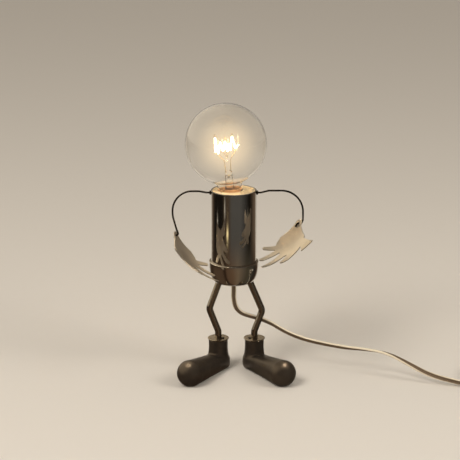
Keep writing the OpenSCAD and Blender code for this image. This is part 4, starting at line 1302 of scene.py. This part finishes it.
for name, place, size, power, colour in (
    ("key_lamp", (-1.2, -1.3, 2.0), 1.0, 36, (1, 0.95, 0.88)),
    ("fill_lamp", (1.6, -0.8, 1.4), 0.9, 14, (1, 0.96, 0.9)),
):
    lamp(name, "AREA", place, power, colour, ("glossy", "transmission"), (0, 0, 0.15),
         size=size)
for name, place, toe in (
    ("left_spot", (-0.18, -0.02, 0.60), (-0.050, -0.050, 0.02)),
    ("right_spot", (0.20, -0.02, 0.60), (0.052, -0.052, 0.02)),
):
    lamp(name, "SPOT", place, 15.0, (1, 0.84, 0.64), ("diffuse",), toe,
         shadow_soft_size=0.05, spot_size=math.radians(9), spot_blend=0.6)
lamp("bulb_glow", "POINT", in_head([0, 0, 102.0]), 1.9, (1, 0.72, 0.42), ("glossy",),
     shadow_soft_size=0.0)
print("lamps", [light.name for light in bpy.data.lights])

# %% [markdown]
# ## Glow round the hot wires
# The eye sees a soft glow round a wire that is too bright for it. A ball of clear air
# that adds a little warm light stands in for it: most where it faces the viewer and
# none at its outline. Its light is (1 - facing) to the power 3.5.

# %% Glow
glow_centre, glow_radius, glow_power, glow_strength = (0.5, -2.0, 103.0), 39.0, 3.5, 0.22
material = bpy.data.materials.new("glow")
tree = empty_tree(material)
weight = node(tree, "LayerWeight", (-800, 0))
inner = node(tree, "Math", (-600, 0), {0: 1.0}, operation="SUBTRACT")
soft = node(tree, "Math", (-400, 0), {1: glow_power}, operation="POWER")
level = node(tree, "Math", (-200, 0), {1: glow_strength}, operation="MULTIPLY")
light = node(tree, "Emission", (0, 100), Color=(1.0, 0.74, 0.40, 1))
clear = node(tree, "BsdfTransparent", (0, -100))
both = node(tree, "AddShader", (200, 0))
out = node(tree, "OutputMaterial", (400, 0))
link(
    tree,
    (weight, "Facing", inner, 1), (inner, "Value", soft, 0), (soft, "Value", level, 0),
    (level, "Value", light, "Strength"), (light, "Emission", both, 0),
    (clear, "BSDF", both, 1), (both, "Shader", out, "Surface"),
)
around = np.radians(np.linspace(0.1, 179.9, 48))
side = np.stack([np.sin(around), -np.cos(around)], 1) * glow_radius + [0, glow_centre[2]]
ball = lathe(side, 96) + np.array([*glow_centre[:2], 0])
hide(stage_piece("glow", in_head(ball), material), "diffuse", "glossy", "shadow",
     "volume_scatter")

# %% [markdown]
# ## World
# The world is three things at once, told apart by the kind of ray. To the camera, and
# through the glass, it is an even warm grey. To reflections it is a dark room with one
# bright side behind the lamp on the left. To everything else it is a soft fill light.

# %% World
world = bpy.data.worlds.new("room")
bpy.context.scene.world = world
tree = empty_tree(world)
ray = node(tree, "LightPath", (-700, 400))
way = node(tree, "TexCoord", (-900, -100))
towards = node(tree, "VectorMath", (-700, -100), {1: (-0.75, 0.35, 0.50)},
               operation="DOT_PRODUCT")
share = node(tree, "MapRange", (-500, -100), interpolation_type="SMOOTHSTEP",
             From_Min=0.35, From_Max=0.80)
mirror_tone = node(tree, "ValToRGB", (-300, -100))
set_stops(mirror_tone, [(0, (0.085, 0.062, 0.042)), (1, (0.95, 0.80, 0.58))])
lit = node(tree, "Background", (0, 100), Color=(0.42, 0.39, 0.35, 1))
mirrored = node(tree, "Background", (0, -100))
seen = node(tree, "Background", (0, -300), Color=(0.60, 0.56, 0.50, 1))
either = node(tree, "Math", (0, 400), operation="MAXIMUM")
first = node(tree, "MixShader", (250, 0))
second = node(tree, "MixShader", (450, 0))
out = node(tree, "OutputWorld", (650, 0))
link(
    tree,
    (way, "Generated", towards, 0), (towards, "Value", share, "Value"),
    (share, "Result", mirror_tone, "Fac"), (mirror_tone, "Color", mirrored, "Color"),
    (ray, "Is Glossy Ray", first, 0), (lit, "Background", first, 1),
    (mirrored, "Background", first, 2), (ray, "Is Camera Ray", either, 0),
    (ray, "Is Transmission Ray", either, 1), (either, "Value", second, 0),
    (first, "Shader", second, 1), (seen, "Background", second, 2),
    (second, "Shader", out, "Surface"),
)
bpy.context.scene.view_settings.view_transform = "Standard"
print("world", len(tree.nodes), "nodes")
